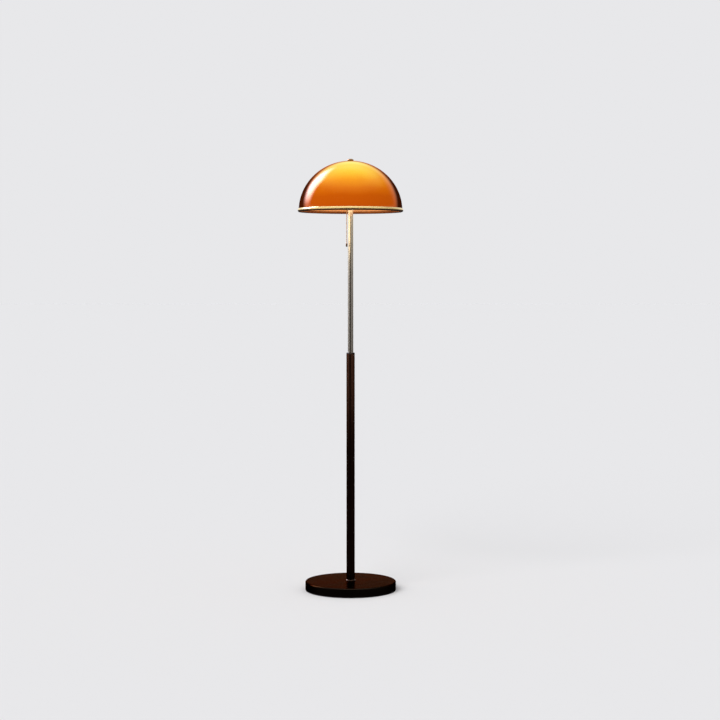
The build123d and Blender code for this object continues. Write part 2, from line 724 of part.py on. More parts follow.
def make_harp_stud():
    """Threaded stud riveted through the harp's eye, with a boss that carries the shade."""
    stud = disc(STUD_HEAD_RADIUS, eye_bottom - STUD_HEAD_HEIGHT, eye_bottom)
    stud += disc(STUD_RADIUS, eye_bottom, stud_top)
    return stud + disc(STUD_BOSS_RADIUS, eye_top, boss_top)


# ---- Shade ------------------------------------------------------------------------------


def make_shade_gasket():
    return sleeve(STUD_BOSS_RADIUS, STUD_RADIUS + FIT_GAP, boss_top, gasket_top)


def make_shade_dome():
    """Open half of a slightly flattened ball, with a hole in its crown for the stud."""
    wall = oval(DOME_RADIUS, DOME_RISE) - oval(inner_radius, inner_rise)
    window = Pos(DOME_HOLE_RADIUS, 0) * Rectangle(DOME_RADIUS, DOME_RISE, align=(Align.MIN, Align.MIN))
    return Pos(0, 0, dome_rim) * turned(wall & window)


def make_shade_ring():
    """Rolled rim: a bead outside the dome's edge, a floor under it and a low lip inside."""
    outside = DOME_RADIUS + FIT_GAP
    lip_outside = inner_radius * share_of_rise(RING_LIP_HEIGHT, inner_rise) - FIT_GAP
    lip_inside = lip_outside - RING_LIP_WALL
    lip_top = dome_rim + RING_LIP_HEIGHT
    bead_middle = (ring_bottom + ring_top) / 2
    bead = ThreePointArc(
        (outside + FIT_GAP, ring_top), (DOME_RADIUS + RING_PROUD, bead_middle), (outside, ring_bottom)
    )
    profile = make_face(
        [
            bead,
            Line((outside, ring_bottom), (lip_inside + RING_EDGE, ring_bottom)),
            TangentArc(
                (lip_inside + RING_EDGE, ring_bottom), (lip_inside, ring_bottom + RING_EDGE), tangent=(-1, 0)
            ),
            Line((lip_inside, ring_bottom + RING_EDGE), (lip_inside, lip_top)),
            Line((lip_inside, lip_top), (lip_outside, lip_top)),
            Line((lip_outside, lip_top), (lip_outside, dome_rim)),
            Line((lip_outside, dome_rim), (outside, dome_rim)),
            Line((outside, dome_rim), (outside, ring_top)),
            Line((outside, ring_top), (outside + FIT_GAP, ring_top)),
        ]
    )
    return turned(profile)


def make_finial_washer():
    return sleeve(FINIAL_WASHER_RADIUS, STUD_RADIUS + FIT_GAP, dome_crown, finial_bottom)


def make_finial():
    """Low domed cap nut on the stud."""
    bottom = finial_bottom + RUNNING_GAP
    skirt_top = bottom + FINIAL_SKIRT
    crown_height = FINIAL_HEIGHT - FINIAL_SKIRT
    crown = oval(FINIAL_RADIUS, crown_height) & Rectangle(
        FINIAL_RADIUS, crown_height, align=(Align.MIN, Align.MIN)
    )
    finial = disc(FINIAL_RADIUS, bottom, skirt_top) + turned(Pos(0, skirt_top) * crown)
    return finial - disc(STUD_RADIUS + RUNNING_GAP, bottom, bottom + FINIAL_BORE_DEPTH)


# ---- Write every piece --------------------------------------------------------------------

pieces = {
    "base_pad": make_base_pad(),
    "base_cover": make_base_cover(),
    "base_weight": make_base_weight(),
    "cord_gland": make_cord_gland(),
    "base_lock_washer": make_base_lock_washer(),
    "base_lock_nut": make_base_lock_nut(),
    "base_nipple": make_base_nipple(),
    "foot_collar": make_foot_collar(),
    "pole_foot_plug": make_pole_foot_plug(),
    "lower_tube": make_lower_tube(),
    "guide_bush": make_guide_bush(),
    "slider_bush": make_slider_bush(),
    "upper_tube": make_upper_tube(),
    "tube_end_cap": make_tube_end_cap(),
    "stop_ring": make_stop_ring(),
    "tube_top_plug": make_tube_top_plug(),
    "top_nipple": make_top_nipple(),
    "housing_lock_nut": make_housing_lock_nut(),
    "harp_saddle": make_harp_saddle(),
    "switch_housing": make_switch_housing(),
    "housing_lid": make_housing_lid(),
    "pull_switch_body": make_pull_switch_body(),
    "switch_ring_nut": make_switch_ring_nut(),
    "return_spring": make_return_spring(),
    "switch_plunger": make_switch_plunger(),
    "pull_chain": make_pull_chain(),
    "pull_knob": make_pull_knob(),
    "lampholder_body": make_lampholder_body(),
    "lampholder_shell": make_lampholder_shell(),
    "centre_contact": make_centre_contact(),
    "lampholder_screws": make_lampholder_screws(),
    "terminal_screws": make_terminal_screws(),
    "bulb_cap": make_bulb_cap(),
    "bulb_glass": make_bulb_glass(),
    "bulb_stem": make_bulb_stem(),
    "bulb_filament": make_bulb_filament(),
    "harp": make_harp(),
    "harp_ferrules": make_harp_ferrules(),
    "harp_stud": make_harp_stud(),
    "shade_gasket": make_shade_gasket(),
    "shade_dome": make_shade_dome(),
    "shade_ring": make_shade_ring(),
    "finial_washer": make_finial_washer(),
    "finial": make_finial(),
}

for node, shape in pieces.items():
    export_step(shape, f"parts/{node}.step")
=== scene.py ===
from math import acos, atan2, cos, pi, radians, sin, sqrt

import bmesh
import bpy
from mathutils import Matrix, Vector


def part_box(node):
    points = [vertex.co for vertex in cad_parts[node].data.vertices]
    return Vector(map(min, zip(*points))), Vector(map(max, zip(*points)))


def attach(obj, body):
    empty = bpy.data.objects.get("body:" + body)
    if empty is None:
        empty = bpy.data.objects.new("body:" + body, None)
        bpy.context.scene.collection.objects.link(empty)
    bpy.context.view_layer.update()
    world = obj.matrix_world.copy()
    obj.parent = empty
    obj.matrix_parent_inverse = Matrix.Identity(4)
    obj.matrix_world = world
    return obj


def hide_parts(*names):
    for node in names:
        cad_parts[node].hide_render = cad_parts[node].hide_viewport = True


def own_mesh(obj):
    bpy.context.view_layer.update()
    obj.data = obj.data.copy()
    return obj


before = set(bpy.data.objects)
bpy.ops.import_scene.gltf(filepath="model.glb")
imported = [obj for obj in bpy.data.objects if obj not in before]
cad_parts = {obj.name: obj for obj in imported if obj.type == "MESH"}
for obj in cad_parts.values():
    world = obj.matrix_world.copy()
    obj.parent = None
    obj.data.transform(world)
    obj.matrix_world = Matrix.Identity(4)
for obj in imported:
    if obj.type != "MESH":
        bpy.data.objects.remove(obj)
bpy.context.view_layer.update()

MM = 0.001

# ---- Camera ------------------------------------------------------------------
# One camera at the photograph's place: level with the upper tube, a little right
# of the lamp, looking slightly down.

CAMERA_PLACE = (0.031, -5.42, 1.032)
CAMERA_TILT = 2.85  # degrees below level
CAMERA_LENS = 82.4

camera = bpy.data.objects.new("camera", bpy.data.cameras.new("camera"))
bpy.context.scene.collection.objects.link(camera)
camera.location = CAMERA_PLACE
camera.rotation_euler = (radians(90 - CAMERA_TILT), 0, 0)
camera.data.lens = CAMERA_LENS
camera.data.sensor_width = 36
camera.data.clip_end = 100
bpy.context.scene.camera = camera
bpy.context.scene.view_settings.view_transform = "Standard"

# ---- Studio ------------------------------------------------------------------
# A pale floor and backdrop of one grey, under an even sky and a wide soft key light from
# the upper left. Gloss and metal see pale walls and a ceiling, the dim room behind the
# camera, a softbox at the upper left, and a warm card that lights the tube.

BACKDROP = (0.806, 0.806, 0.823, 1)
ROOM = (0.025, 0.023, 0.021, 1)
LEFT_WALL = 1.35
RIGHT_WALL = 0.85
WALL_RISE = 0.20
CEILING = 1.35
FLOOR_IN_GLOSS = (0.060, 0.055, 0.050, 1)
SKY_LEVEL = 0.62
CARD = (1.0, 0.85, 0.64)
CARD_SIZE = (0.55, 0.13)
CARD_PLACE = (-0.27, -0.23, 1.19)
CARD_POWER = 0.36
KEY_FROM = (-0.45, -0.66, 0.6)
KEY_STRENGTH = 1.99
SOFTBOX = (1.0, 0.94, 1.22, 1)
SOFTBOX_STRENGTH = 14.0


def feed(node, socket, source):
    """Links a socket to one of a node's inputs, or gives that input a plain value."""
    if isinstance(source, bpy.types.NodeSocket):
        node.id_data.links.new(source, node.inputs[socket])
    else:
        node.inputs[socket].default_value = source


def put(tree, kind, feeds=None, **settings):
    """Adds a node with its settings, and feeds its inputs."""
    node = tree.nodes.new(kind)
    for setting, value in settings.items():
        setattr(node, setting, value)
    for socket, source in (feeds or {}).items():
        feed(node, socket, source)
    return node


def result_of(tree, kind, feeds=None, **settings):
    """Adds a node and returns its first result."""
    return put(tree, kind, feeds, **settings).outputs[0]


def calc(tree, operation, *feeds):
    """One Math node of either kind of tree, and its result."""
    return result_of(tree, "ShaderNodeMath", dict(enumerate(feeds)), operation=operation)


def ramp_between(tree, value, low, high, to_low=0.0, to_high=1.0, shape="SMOOTHSTEP"):
    """Takes a value from between two levels to between two others."""
    feeds = {"Value": value, "From Min": low, "From Max": high, "To Min": to_low, "To Max": to_high}
    return result_of(tree, "ShaderNodeMapRange", feeds, interpolation_type=shape)


def blend_colours(tree, share, first, second, mode="MIX"):
    """Mixes two colours by a share."""
    feeds = {0: share, 6: first, 7: second}
    return put(tree, "ShaderNodeMix", feeds, data_type="RGBA", blend_type=mode).outputs[2]


def scaled(tree, colour, level):
    """A colour of light at a level of its own."""
    return result_of(tree, "ShaderNodeVectorMath", {0: colour[:3], "Scale": level}, operation="SCALE")


world = bpy.data.worlds.new("studio")
bpy.context.scene.world = world
world.use_nodes = True
studio = world.node_tree
looked_along = put(studio, "ShaderNodeTexCoord").outputs["Generated"]
direction = put(studio, "ShaderNodeSeparateXYZ", {0: looked_along}).outputs
leftwards = calc(studio, "MULTIPLY", direction["X"], -1.0)
left_light = ramp_between(studio, leftwards, 0.42, 1.05, to_high=LEFT_WALL)
right_light = calc(
    studio, "MULTIPLY",
    ramp_between(studio, direction["X"], 0.12, 0.50, to_high=RIGHT_WALL),
    ramp_between(studio, direction["X"], 1.00, 0.65, to_low=0.5),
)
off_level = calc(studio, "ABSOLUTE", direction["Z"])
wall_share = ramp_between(studio, off_level, WALL_RISE, 0.5 * WALL_RISE)
wall_light = calc(studio, "MULTIPLY", calc(studio, "MAXIMUM", left_light, right_light), wall_share)
backdrop_light = ramp_between(studio, direction["Y"], 0.25, 0.80)
ceiling_light = ramp_between(studio, direction["Z"], 0.55, 0.90, to_high=CEILING)
pale_share = calc(studio, "MAXIMUM", wall_light, calc(studio, "MAXIMUM", backdrop_light, ceiling_light))
surroundings = blend_colours(studio, 1.0, ROOM, scaled(studio, BACKDROP, pale_share), mode="ADD")
softbox_power = SOFTBOX_STRENGTH
for seen, start, full in (
    (direction["Z"], 0.08, 0.50), (direction["Z"], 0.84, 0.68), (leftwards, 0.16, 0.50),
    (direction["Y"], 0.16, 0.40), (direction["Y"], 0.80, 0.50),
):
    softbox_power = calc(studio, "MULTIPLY", ramp_between(studio, seen, start, full), softbox_power)
softbox_light = scaled(studio, SOFTBOX, softbox_power)
seen_in_gloss = blend_colours(studio, 1.0, surroundings, softbox_light, mode="ADD")
rays = put(studio, "ShaderNodeLightPath").outputs
in_gloss = calc(studio, "MAXIMUM", rays["Is Glossy Ray"], rays["Is Transmission Ray"])
lighting = blend_colours(studio, in_gloss, (SKY_LEVEL, SKY_LEVEL, SKY_LEVEL, 1), seen_in_gloss)
sky = blend_colours(studio, rays["Is Camera Ray"], lighting, BACKDROP)
feed(studio.nodes["Background"], "Color", sky)


def new_light(name, kind, comes_from, energy, **settings):
    """A light whose rays come from one direction."""
    light = bpy.data.objects.new(name, bpy.data.lights.new(name, kind))
    bpy.context.scene.collection.objects.link(light)
    light.rotation_euler = Vector(comes_from).to_track_quat("Z", "Y").to_euler()
    light.data.energy = energy
    for setting, value in settings.items():
        setattr(light.data, setting, value)
    return light


key = new_light("key", "SUN", KEY_FROM, KEY_STRENGTH, angle=radians(40))
key.visible_glossy = False
card = new_light(
    "warm_card", "AREA", (CARD_PLACE[0], CARD_PLACE[1], 0), CARD_POWER,
    shape="RECTANGLE", size=CARD_SIZE[0], size_y=CARD_SIZE[1], color=CARD,
)
card.location = CARD_PLACE
card.visible_camera = card.visible_diffuse = False

floor_mesh = bpy.data.meshes.new("floor")
floor_mesh.from_pydata(
    [(-40, -40, 0), (40, -40, 0), (40, 60, 0), (-40, 60, 0)], [], [(0, 1, 2, 3)]
)
floor = bpy.data.objects.new("floor", floor_mesh)
bpy.context.scene.collection.objects.link(floor)
floor_paint = bpy.data.materials.new("floor_paint")
floor_paint.use_nodes = True
floor_tree = floor_paint.node_tree
floor_shader = floor_tree.nodes["Principled BSDF"]
for socket, value in (("Base Color", BACKDROP), ("Roughness", 1), ("Specular IOR Level", 0)):
    feed(floor_shader, socket, value)
floor_in_gloss = result_of(floor_tree, "ShaderNodeEmission", {"Color": FLOOR_IN_GLOSS})
floor_rays = put(floor_tree, "ShaderNodeLightPath").outputs
floor_mix = result_of(
    floor_tree, "ShaderNodeMixShader",
    {0: floor_rays["Is Glossy Ray"], 1: floor_shader.outputs[0], 2: floor_in_gloss},
)
feed(floor_tree.nodes["Material Output"], "Surface", floor_mix)
floor_mesh.materials.append(floor_paint)

# ---- Base weight, nuts and pipes ---------------------------------------------
# The weight is sand-cast iron, brushed with thin black paint. It is clamped to the
# cover and the pole by a hollow threaded steel pipe with a nut and a washer; the
# pipe, nuts, plugs and rings of the whole lamp are turned steel, zinc plated.

WEIGHT_BLACK = (0.030, 0.030, 0.031, 1)
WEIGHT_DUST = (0.075, 0.071, 0.066, 1)
ZINC = (0.56, 0.57, 0.56, 1)
ZINC_DULL = (0.40, 0.41, 0.41, 1)


def new_group(name, inputs, outputs):
    """A shader node group whose sockets are given as (name, kind, plain value)."""
    group = bpy.data.node_groups.new(name, "ShaderNodeTree")
    for socket, kind, value in inputs:
        group.interface.new_socket(socket, in_out="INPUT", socket_type=kind).default_value = value
    for socket, kind in outputs:
        group.interface.new_socket(socket, in_out="OUTPUT", socket_type=kind)
    return group, group.nodes.new("NodeGroupInput").outputs, group.nodes.new("NodeGroupOutput")


# Grain: noise of a real size, stretched along an axis for brushed or drawn metal.
grain_group, given, result = new_group(
    "grain",
    [
        ("Fineness", "NodeSocketFloat", 500.0),
        ("Stretch", "NodeSocketVector", (1, 1, 1)),
        ("Detail", "NodeSocketFloat", 3.0),
    ],
    [("Tone", "NodeSocketFloat"), ("Height", "NodeSocketFloat")],
)
place = put(grain_group, "ShaderNodeTexCoord").outputs["Object"]
stretched = result_of(
    grain_group, "ShaderNodeVectorMath", {0: place, 1: given["Stretch"]}, operation="MULTIPLY"
)
grain_noise = put(
    grain_group, "ShaderNodeTexNoise",
    {"Vector": stretched, "Scale": given["Fineness"], "Detail": given["Detail"]},
).outputs["Fac"]
feed(result, "Tone", ramp_between(grain_group, grain_noise, 0.3, 0.7))
feed(result, "Height", grain_noise)

# Handling: soft smudges all over, and dust that settles where a face looks up.
handling_group, given, result = new_group(
    "handling",
    [("Smudge Fineness", "NodeSocketFloat", 30.0), ("Dust", "NodeSocketFloat", 0.3)],
    [("Smudge", "NodeSocketFloat"), ("Dust Mask", "NodeSocketFloat")],
)
place = put(handling_group, "ShaderNodeTexCoord").outputs["Object"]
smudge_noise = put(
    handling_group, "ShaderNodeTexNoise",
    {"Vector": place, "Scale": given["Smudge Fineness"], "Detail": 4.0, "Distortion": 0.6},
).outputs["Fac"]
feed(result, "Smudge", ramp_between(handling_group, smudge_noise, 0.38, 0.68))
surface_normal = put(handling_group, "ShaderNodeNewGeometry").outputs["Normal"]
facing_up = put(handling_group, "ShaderNodeSeparateXYZ", {0: surface_normal}).outputs["Z"]
dust_noise = put(
    handling_group, "ShaderNodeTexNoise", {"Vector": place, "Scale": 900.0, "Detail": 2.0}
).outputs["Fac"]
dust_lying = calc(
    handling_group, "MULTIPLY",
    ramp_between(handling_group, facing_up, 0.55, 1.0),
    ramp_between(handling_group, dust_noise, 0.5, 0.75),
)
feed(result, "Dust Mask", calc(handling_group, "MULTIPLY", dust_lying, given["Dust"]))


def new_finish(name, plain):
    """A material with one Principled shader, whose plain sockets are set here."""
    finish = bpy.data.materials.new(name)
    finish.use_nodes = True
    shader = finish.node_tree.nodes["Principled BSDF"]
    for socket, value in plain.items():
        feed(shader, socket, value)
    return finish, finish.node_tree, shader


def fed_group(tree, group, feeds):
    """Places a group, feeds it and returns its results."""
    return put(tree, "ShaderNodeGroup", feeds, node_tree=group).outputs


def grain_of(tree, fineness, detail, stretch=(1, 1, 1)):
    """Grain of one fineness, placed in a finish."""
    return fed_group(tree, grain_group, {"Fineness": fineness, "Stretch": stretch, "Detail": detail})


def add_bump(tree, shader, height, depth):
    """Relief of a real depth on a shader's surface."""
    bump = result_of(tree, "ShaderNodeBump", {"Height": height, "Distance": depth, "Strength": 1.0})
    feed(shader, "Normal", bump)


def coloured_metal(name, bright, dull, roughness, fineness, stretch, depth, smudged=0.05):
    """Metal whose grain and smudges vary its tone and roughness."""
    finish, tree, shader = new_finish(name, {"Metallic": 1.0})
    grain = grain_of(tree, fineness, 3.0, stretch)
    handling = fed_group(tree, handling_group, {"Smudge Fineness": 28.0, "Dust": 0.2})
    feed(shader, "Base Color", blend_colours(tree, grain["Tone"], dull, bright))
    smudge = ramp_between(tree, handling["Smudge"], 0, 1, roughness, roughness + smudged)
    rough = calc(tree, "ADD", smudge, calc(tree, "MULTIPLY", handling["Dust Mask"], 0.4))
    feed(shader, "Roughness", rough)
    add_bump(tree, shader, grain["Height"], depth)
    return finish


def dress(node, finish):
    """Gives a CAD node's object its material."""
    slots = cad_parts[node].data.materials
    slots.clear()
    slots.append(finish)


weight_iron, tree, shader = new_finish("weight_iron", {"Roughness": 0.8, "Specular IOR Level": 0.3})
casting = grain_of(tree, 420.0, 5.0)
cast_tone = blend_colours(tree, calc(tree, "MULTIPLY", casting["Tone"], 0.5), WEIGHT_BLACK, WEIGHT_DUST)
feed(shader, "Base Color", cast_tone)
add_bump(tree, shader, casting["Height"], 0.6 * MM)
dress("base_weight", weight_iron)

zinc_plate = coloured_metal("zinc_plate", ZINC, ZINC_DULL, 0.28, 700.0, (1, 1, 1), 0.02 * MM)
for node in (
    "base_lock_washer", "base_lock_nut", "base_nipple", "pole_foot_plug", "tube_end_cap", "stop_ring",
    "tube_top_plug", "top_nipple", "housing_lock_nut", "switch_ring_nut",
):
    dress(node, zinc_plate)

# ---- Base pad ----------------------------------------------------------------
# A disc of pressed black wool felt, glued under the weight so that the lamp
# doesn't scratch the floor. Its short fibres lie in all directions.

FELT_BLACK = (0.012, 0.012, 0.014, 1)
FELT_FIBRE = (0.060, 0.058, 0.060, 1)

felt, tree, shader = new_finish(
    "felt", {"Roughness": 0.95, "Specular IOR Level": 0.15, "Sheen Weight": 0.25, "Sheen Roughness": 0.6}
)
fibres = grain_of(tree, 1800.0, 4.0, (1, 0.25, 1))
cross_fibres = grain_of(tree, 1500.0, 4.0, (0.3, 1, 1))
felt_height = calc(tree, "ADD", fibres["Height"], cross_fibres["Height"])
felt_share = calc(tree, "MULTIPLY", fibres["Tone"], cross_fibres["Tone"])
feed(shader, "Base Color", blend_colours(tree, felt_share, FELT_BLACK, FELT_FIBRE))
add_bump(tree, shader, felt_height, 0.5 * MM)
dress("base_pad", felt)

# ---- Base cover --------------------------------------------------------------
# A spun steel shell over the weight, with a rounded edge, sprayed in a dark bronze
# lacquer that has fine metal flake in it.

BRONZE_DARK = (0.0155, 0.0106, 0.0078, 1)
BRONZE_FLAKE = (0.046, 0.032, 0.0235, 1)
BRONZE_DUST = (0.100, 0.060, 0.040, 1)
BRONZE_SHEEN = (0.258, 0.119, 0.025, 1)
COVER_EDGE_RADIUS = 4.0 * MM
COVER_WALL = 1.5 * MM
PIPE_HOLE = 5.1 * MM  # the threaded pipe goes through it


def rounded_outline(points, steps=6):
    """Turns (radius, height, corner radius) points into (radius, height) ones, with the corners rounded."""
    made = []
    for at, (r, z, corner) in enumerate(points):
        if not corner:
            made.append((r, z))
            continue
        here = Vector((r, z))
        before = (Vector(points[at - 1][:2]) - here).normalized()
        after = (Vector(points[(at + 1) % len(points)][:2]) - here).normalized()
        half = before.angle(after) / 2
        centre = here + (before + after).normalized() * corner / sin(half)
        start = here + before * corner * cos(half) / sin(half)
        end = here + after * corner * cos(half) / sin(half)
        made.append(tuple(start + before * 0.1 * corner))  # keeps the flat beside it flat in the shading
        for n in range(steps + 1):
            made.append(tuple(centre + (start - centre).slerp(end - centre, n / steps).normalized() * corner))
        made.append(tuple(end + after * 0.1 * corner))
    return made


def new_piece(name, mesh, finish, body, nodes):
    """Puts a finished mesh in the scene, rides it on its body and hides the CAD nodes that it stands for."""
    mesh.name = name
    mesh.materials.clear()
    mesh.materials.append(finish)
    piece = bpy.data.objects.new(name, mesh)
    bpy.context.scene.collection.objects.link(piece)
    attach(piece, body)
    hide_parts(*nodes)
    return piece


def turned_mesh(outline, steps, centre=(0, 0), closed=True, hard=40):
    """Turns an outline about a vertical line. Points on the line become one pole."""
    turned = bmesh.new()
    rows = []
    for r, z in outline:
        if r < 1e-6:
            rows.append([turned.verts.new((centre[0], centre[1], z))])
            continue
        turns = [2 * pi * n / steps for n in range(steps)]
        rows.append([turned.verts.new((centre[0] + r * cos(t), centre[1] + r * sin(t), z)) for t in turns])
    pairs = list(zip(rows, rows[1:])) + ([(rows[-1], rows[0])] if closed else [])
    for low, high in pairs:
        for n in range(steps if max(len(low), len(high)) > 1 else 0):
            corners = [(low, n), (low, n + 1), (high, n + 1), (high, n)]
            turned.faces.new(list(dict.fromkeys(ring[at % len(ring)] for ring, at in corners)))
    bmesh.ops.recalc_face_normals(turned, faces=turned.faces)
    mesh = bpy.data.meshes.new("turned")
    turned.to_mesh(mesh)
    turned.free()
    mesh.shade_smooth()
    mesh.set_sharp_from_angle(angle=radians(hard))
    return mesh


def sprayed(name, dark, flake_colour):
    """Dark bronze lacquer: fine flake, a faint orange peel, smudges and dust."""
    finish, tree, shader = new_finish(name, {"Metallic": 1.0, "Specular Tint": BRONZE_SHEEN})
    flake = grain_of(tree, 2600.0, 1.0)
    orange_peel = grain_of(tree, 240.0, 1.0)
    handling = fed_group(tree, handling_group, {"Smudge Fineness": 14.0, "Dust": 0.25})
    tone = blend_colours(tree, calc(tree, "MULTIPLY", flake["Tone"], 0.7), dark, flake_colour)
    tone = blend_colours(tree, handling["Dust Mask"], tone, BRONZE_DUST)
    feed(shader, "Base Color", tone)
    feed(shader, "Roughness", ramp_between(tree, handling["Smudge"], 0, 1, 0.20, 0.27))
    add_bump(tree, shader, orange_peel["Height"], 0.012 * MM)
    return finish


base_lacquer = sprayed("base_lacquer", BRONZE_DARK, BRONZE_FLAKE)
low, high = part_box("base_cover")
cover_radius, cover_top, cover_bottom = high.x, high.z, low.z
cover_outline = rounded_outline(
    [
        (PIPE_HOLE, cover_top, 0),
        (cover_radius, cover_top, COVER_EDGE_RADIUS),
        (cover_radius, cover_bottom, 0.4 * MM),
        (cover_radius - COVER_WALL, cover_bottom, 0.4 * MM),
        (cover_radius - COVER_WALL, cover_top - COVER_WALL, COVER_EDGE_RADIUS - COVER_WALL),
        (PIPE_HOLE, cover_top - COVER_WALL, 0),
    ]
)
cover_mesh = turned_mesh(cover_outline, 256)
new_piece("cover_shell", cover_mesh, base_lacquer, "stand", ["base_cover"])

# ---- Cord gland --------------------------------------------------------------
# A black moulded bush that snaps into the cover's rear, where a supply cord goes in.
# It has the fine grain of its mould.

MOULDED_BLACK = (0.016, 0.016, 0.017, 1)
MOULDED_WORN = (0.040, 0.040, 0.041, 1)


def moulded(name, dark, worn, roughness):
    """Moulded plastic with the fine grain of its mould."""
    finish, tree, shader = new_finish(name, {"Specular IOR Level": 0.4})
    mould = grain_of(tree, 1400.0, 2.0)
    handling = fed_group(tree, handling_group, {"Smudge Fineness": 60.0, "Dust": 0.5})
    tone = blend_colours(tree, calc(tree, "MULTIPLY", handling["Smudge"], 0.5), dark, worn)
    feed(shader, "Base Color", tone)
    feed(shader, "Roughness", ramp_between(tree, mould["Tone"], 0, 1, roughness, roughness + 0.12))
    add_bump(tree, shader, mould["Height"], 0.05 * MM)
    return finish


dress("cord_gland", moulded("gland_moulding", MOULDED_BLACK, MOULDED_WORN, 0.5))

# ---- Foot collar and lower tube ----------------------------------------------
# A low turned ring covers the joint at the pole's foot. The lower tube is drawn steel in
# the same kind of lacquer, painted brighter and warmer towards its top as painted light from the shade.

COLLAR_EDGE = 1.5 * MM
COLLAR_BRONZE = (0.115, 0.072, 0.052, 1)
COLLAR_WORN = (0.170, 0.112, 0.084, 1)
TUBE_EDGE = 0.25 * MM
LOWER_TUBE_WALL = 1.2 * MM
LATHE_RINGS = (0.02, 0.02, 1)  # stretches the grain to fine rings round a turned piece
POLE_DARK = (0.023, 0.010, 0.007, 1)
POLE_FLAKE = (0.075, 0.032, 0.020, 1)
POLE_LAMPLIT = (0.18, 0.074, 0.043, 1)
LAMPLIT_HEIGHTS = (440 * MM, 720 * MM)  # heights between which the painted light from the shade brightens it


def height_in(tree):
    """The height above the floor, from a piece's own coordinates."""
    place = put(tree, "ShaderNodeTexCoord").outputs["Object"]
    return put(tree, "ShaderNodeSeparateXYZ", {0: place}).outputs["Z"]


def tint_between(finish, colour, start, full, share=1.0):
    """Blends a finish into a colour from one height to another, and keeps it from there on."""
    tree = finish.node_tree
    shader = tree.nodes["Principled BSDF"]
    plain = shader.inputs["Base Color"].links[0].from_socket
    reached = ramp_between(tree, height_in(tree), start, full, to_high=share)
    feed(shader, "Base Color", blend_colours(tree, reached, plain, colour))


collar_bronze = coloured_metal(
    "collar_bronze", COLLAR_WORN, COLLAR_BRONZE, 0.30, 900.0, LATHE_RINGS, 0.004 * MM
)
low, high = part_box("foot_collar")
collar_outline = rounded_outline(
    [
        (PIPE_HOLE, high.z, 0),
        (high.x, high.z, COLLAR_EDGE),
        (high.x, low.z, 0.3 * MM),
        (PIPE_HOLE, low.z, 0),
    ]
)
collar_mesh = turned_mesh(collar_outline, 96)
new_piece("pole_collar", collar_mesh, collar_bronze, "stand", ["foot_collar"])


def tube_mesh(node, wall):
    """A drawn tube in a CAD node's place, with softened outer edges."""
    low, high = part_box(node)
    outline = [
        (high.x, high.z, TUBE_EDGE),
        (high.x, low.z, TUBE_EDGE),
        (high.x - wall, low.z, 0),
        (high.x - wall, high.z, 0),
    ]
    return turned_mesh(rounded_outline(outline, 3), 96)


pole_lacquer = sprayed("pole_lacquer", POLE_DARK, POLE_FLAKE)
# Painted light: the tube is tinted brighter and warmer towards its top, for the light falling from the shade.
tint_between(pole_lacquer, POLE_LAMPLIT, *LAMPLIT_HEIGHTS, share=0.9)
pole_mesh = tube_mesh("lower_tube", LOWER_TUBE_WALL)
new_piece("pole_tube", pole_mesh, pole_lacquer, "stand", ["lower_tube"])

# ---- Guide bush and slider bush ----------------------------------------------
# Dark brown nylon, turned. The guide bush closes the lower tube's mouth with a
# rounded collar; the slider bush runs inside the lower tube on the upper tube's foot.

NYLON_DARK = (0.014, 0.0075, 0.0055, 1)
NYLON_WORN = (0.050, 0.034, 0.028, 1)
GUIDE_EDGE = 1.8 * MM
GUIDE_BORE = 9.05 * MM
SEAT_GAP = 0.1 * MM  # round what is pushed or screwed together

nylon = moulded("nylon_bush", NYLON_DARK, NYLON_WORN, 0.34)
low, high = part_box("guide_bush")
collar_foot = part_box("lower_tube")[1].z
guide_body = high.x - LOWER_TUBE_WALL - SEAT_GAP
guide_outline = rounded_outline(
    [
        (GUIDE_BORE, high.z, 0.4 * MM),
        (high.x, high.z, GUIDE_EDGE),
        (high.x, collar_foot, 0),
        (guide_body, collar_foot, 0),
        (guide_body, low.z, 0),
        (GUIDE_BORE, low.z, 0),
    ]
)
new_piece("mouth_bush", turned_mesh(guide_outline, 96), nylon, "stand", ["guide_bush"])
dress("slider_bush", nylon)

# ---- Upper tube --------------------------------------------------------------
# Drawn steel tube, brushed lengthwise, nickel plated and clear lacquered. It slides and
# turns in the guide bush, and its handling leaves faint smudges.

NICKEL = (0.66, 0.60, 0.52, 1)
NICKEL_DULL = (0.56, 0.50, 0.43, 1)
NICKEL_LAMPLIT = (1.0, 0.86, 0.62, 1)
UPPER_TUBE_WALL = 1.0 * MM
LAMPLIT_LENGTH = 260 * MM  # below the shade, painted cream as painted light from the lamp

nickel_brushed = coloured_metal(
    "nickel_brushed", NICKEL, NICKEL_DULL, 0.24, 2400.0, (1, 1, 0.012), 0.0012 * MM, 0.02
)
tube_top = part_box("upper_tube")[1].z
# Painted light: the tube's top is tinted cream, for the lamp's warm light under the shade.
tint_between(nickel_brushed, NICKEL_LAMPLIT, tube_top - LAMPLIT_LENGTH, tube_top, share=0.8)
mast_mesh = tube_mesh("upper_tube", UPPER_TUBE_WALL)
new_piece("mast_tube", mast_mesh, nickel_brushed, "mast", ["upper_tube"])

# ---- Harp saddle, switch housing and lid -------------------------------------
# The saddle is a pressed steel strap, clamped on the pole's top under a drawn cup
# that holds the switch. Cup and lid are spun and nickel plated, with faint rings.

nickel_spun = coloured_metal("nickel_spun", NICKEL, NICKEL_DULL, 0.24, 1500.0, LATHE_RINGS, 0.002 * MM)
dress("harp_saddle", zinc_plate)
dress("switch_housing", nickel_spun)
dress("housing_lid", nickel_spun)

# ---- Pull switch -------------------------------------------------------------
# A moulded brown phenolic block with a plunger in its bore, held in the cup by a thin
# nut. A coiled steel spring pushes the plunger up again after each pull.

PHENOLIC_DARK = (0.030, 0.016, 0.011, 1)
PHENOLIC_WORN = (0.065, 0.040, 0.030, 1)
SPRING_WIRE = 0.3 * MM
SPRING_COILS = 9.0

phenolic = moulded("phenolic_block", PHENOLIC_DARK, PHENOLIC_WORN, 0.42)
dress("pull_switch_body", phenolic)
dress("switch_plunger", phenolic)


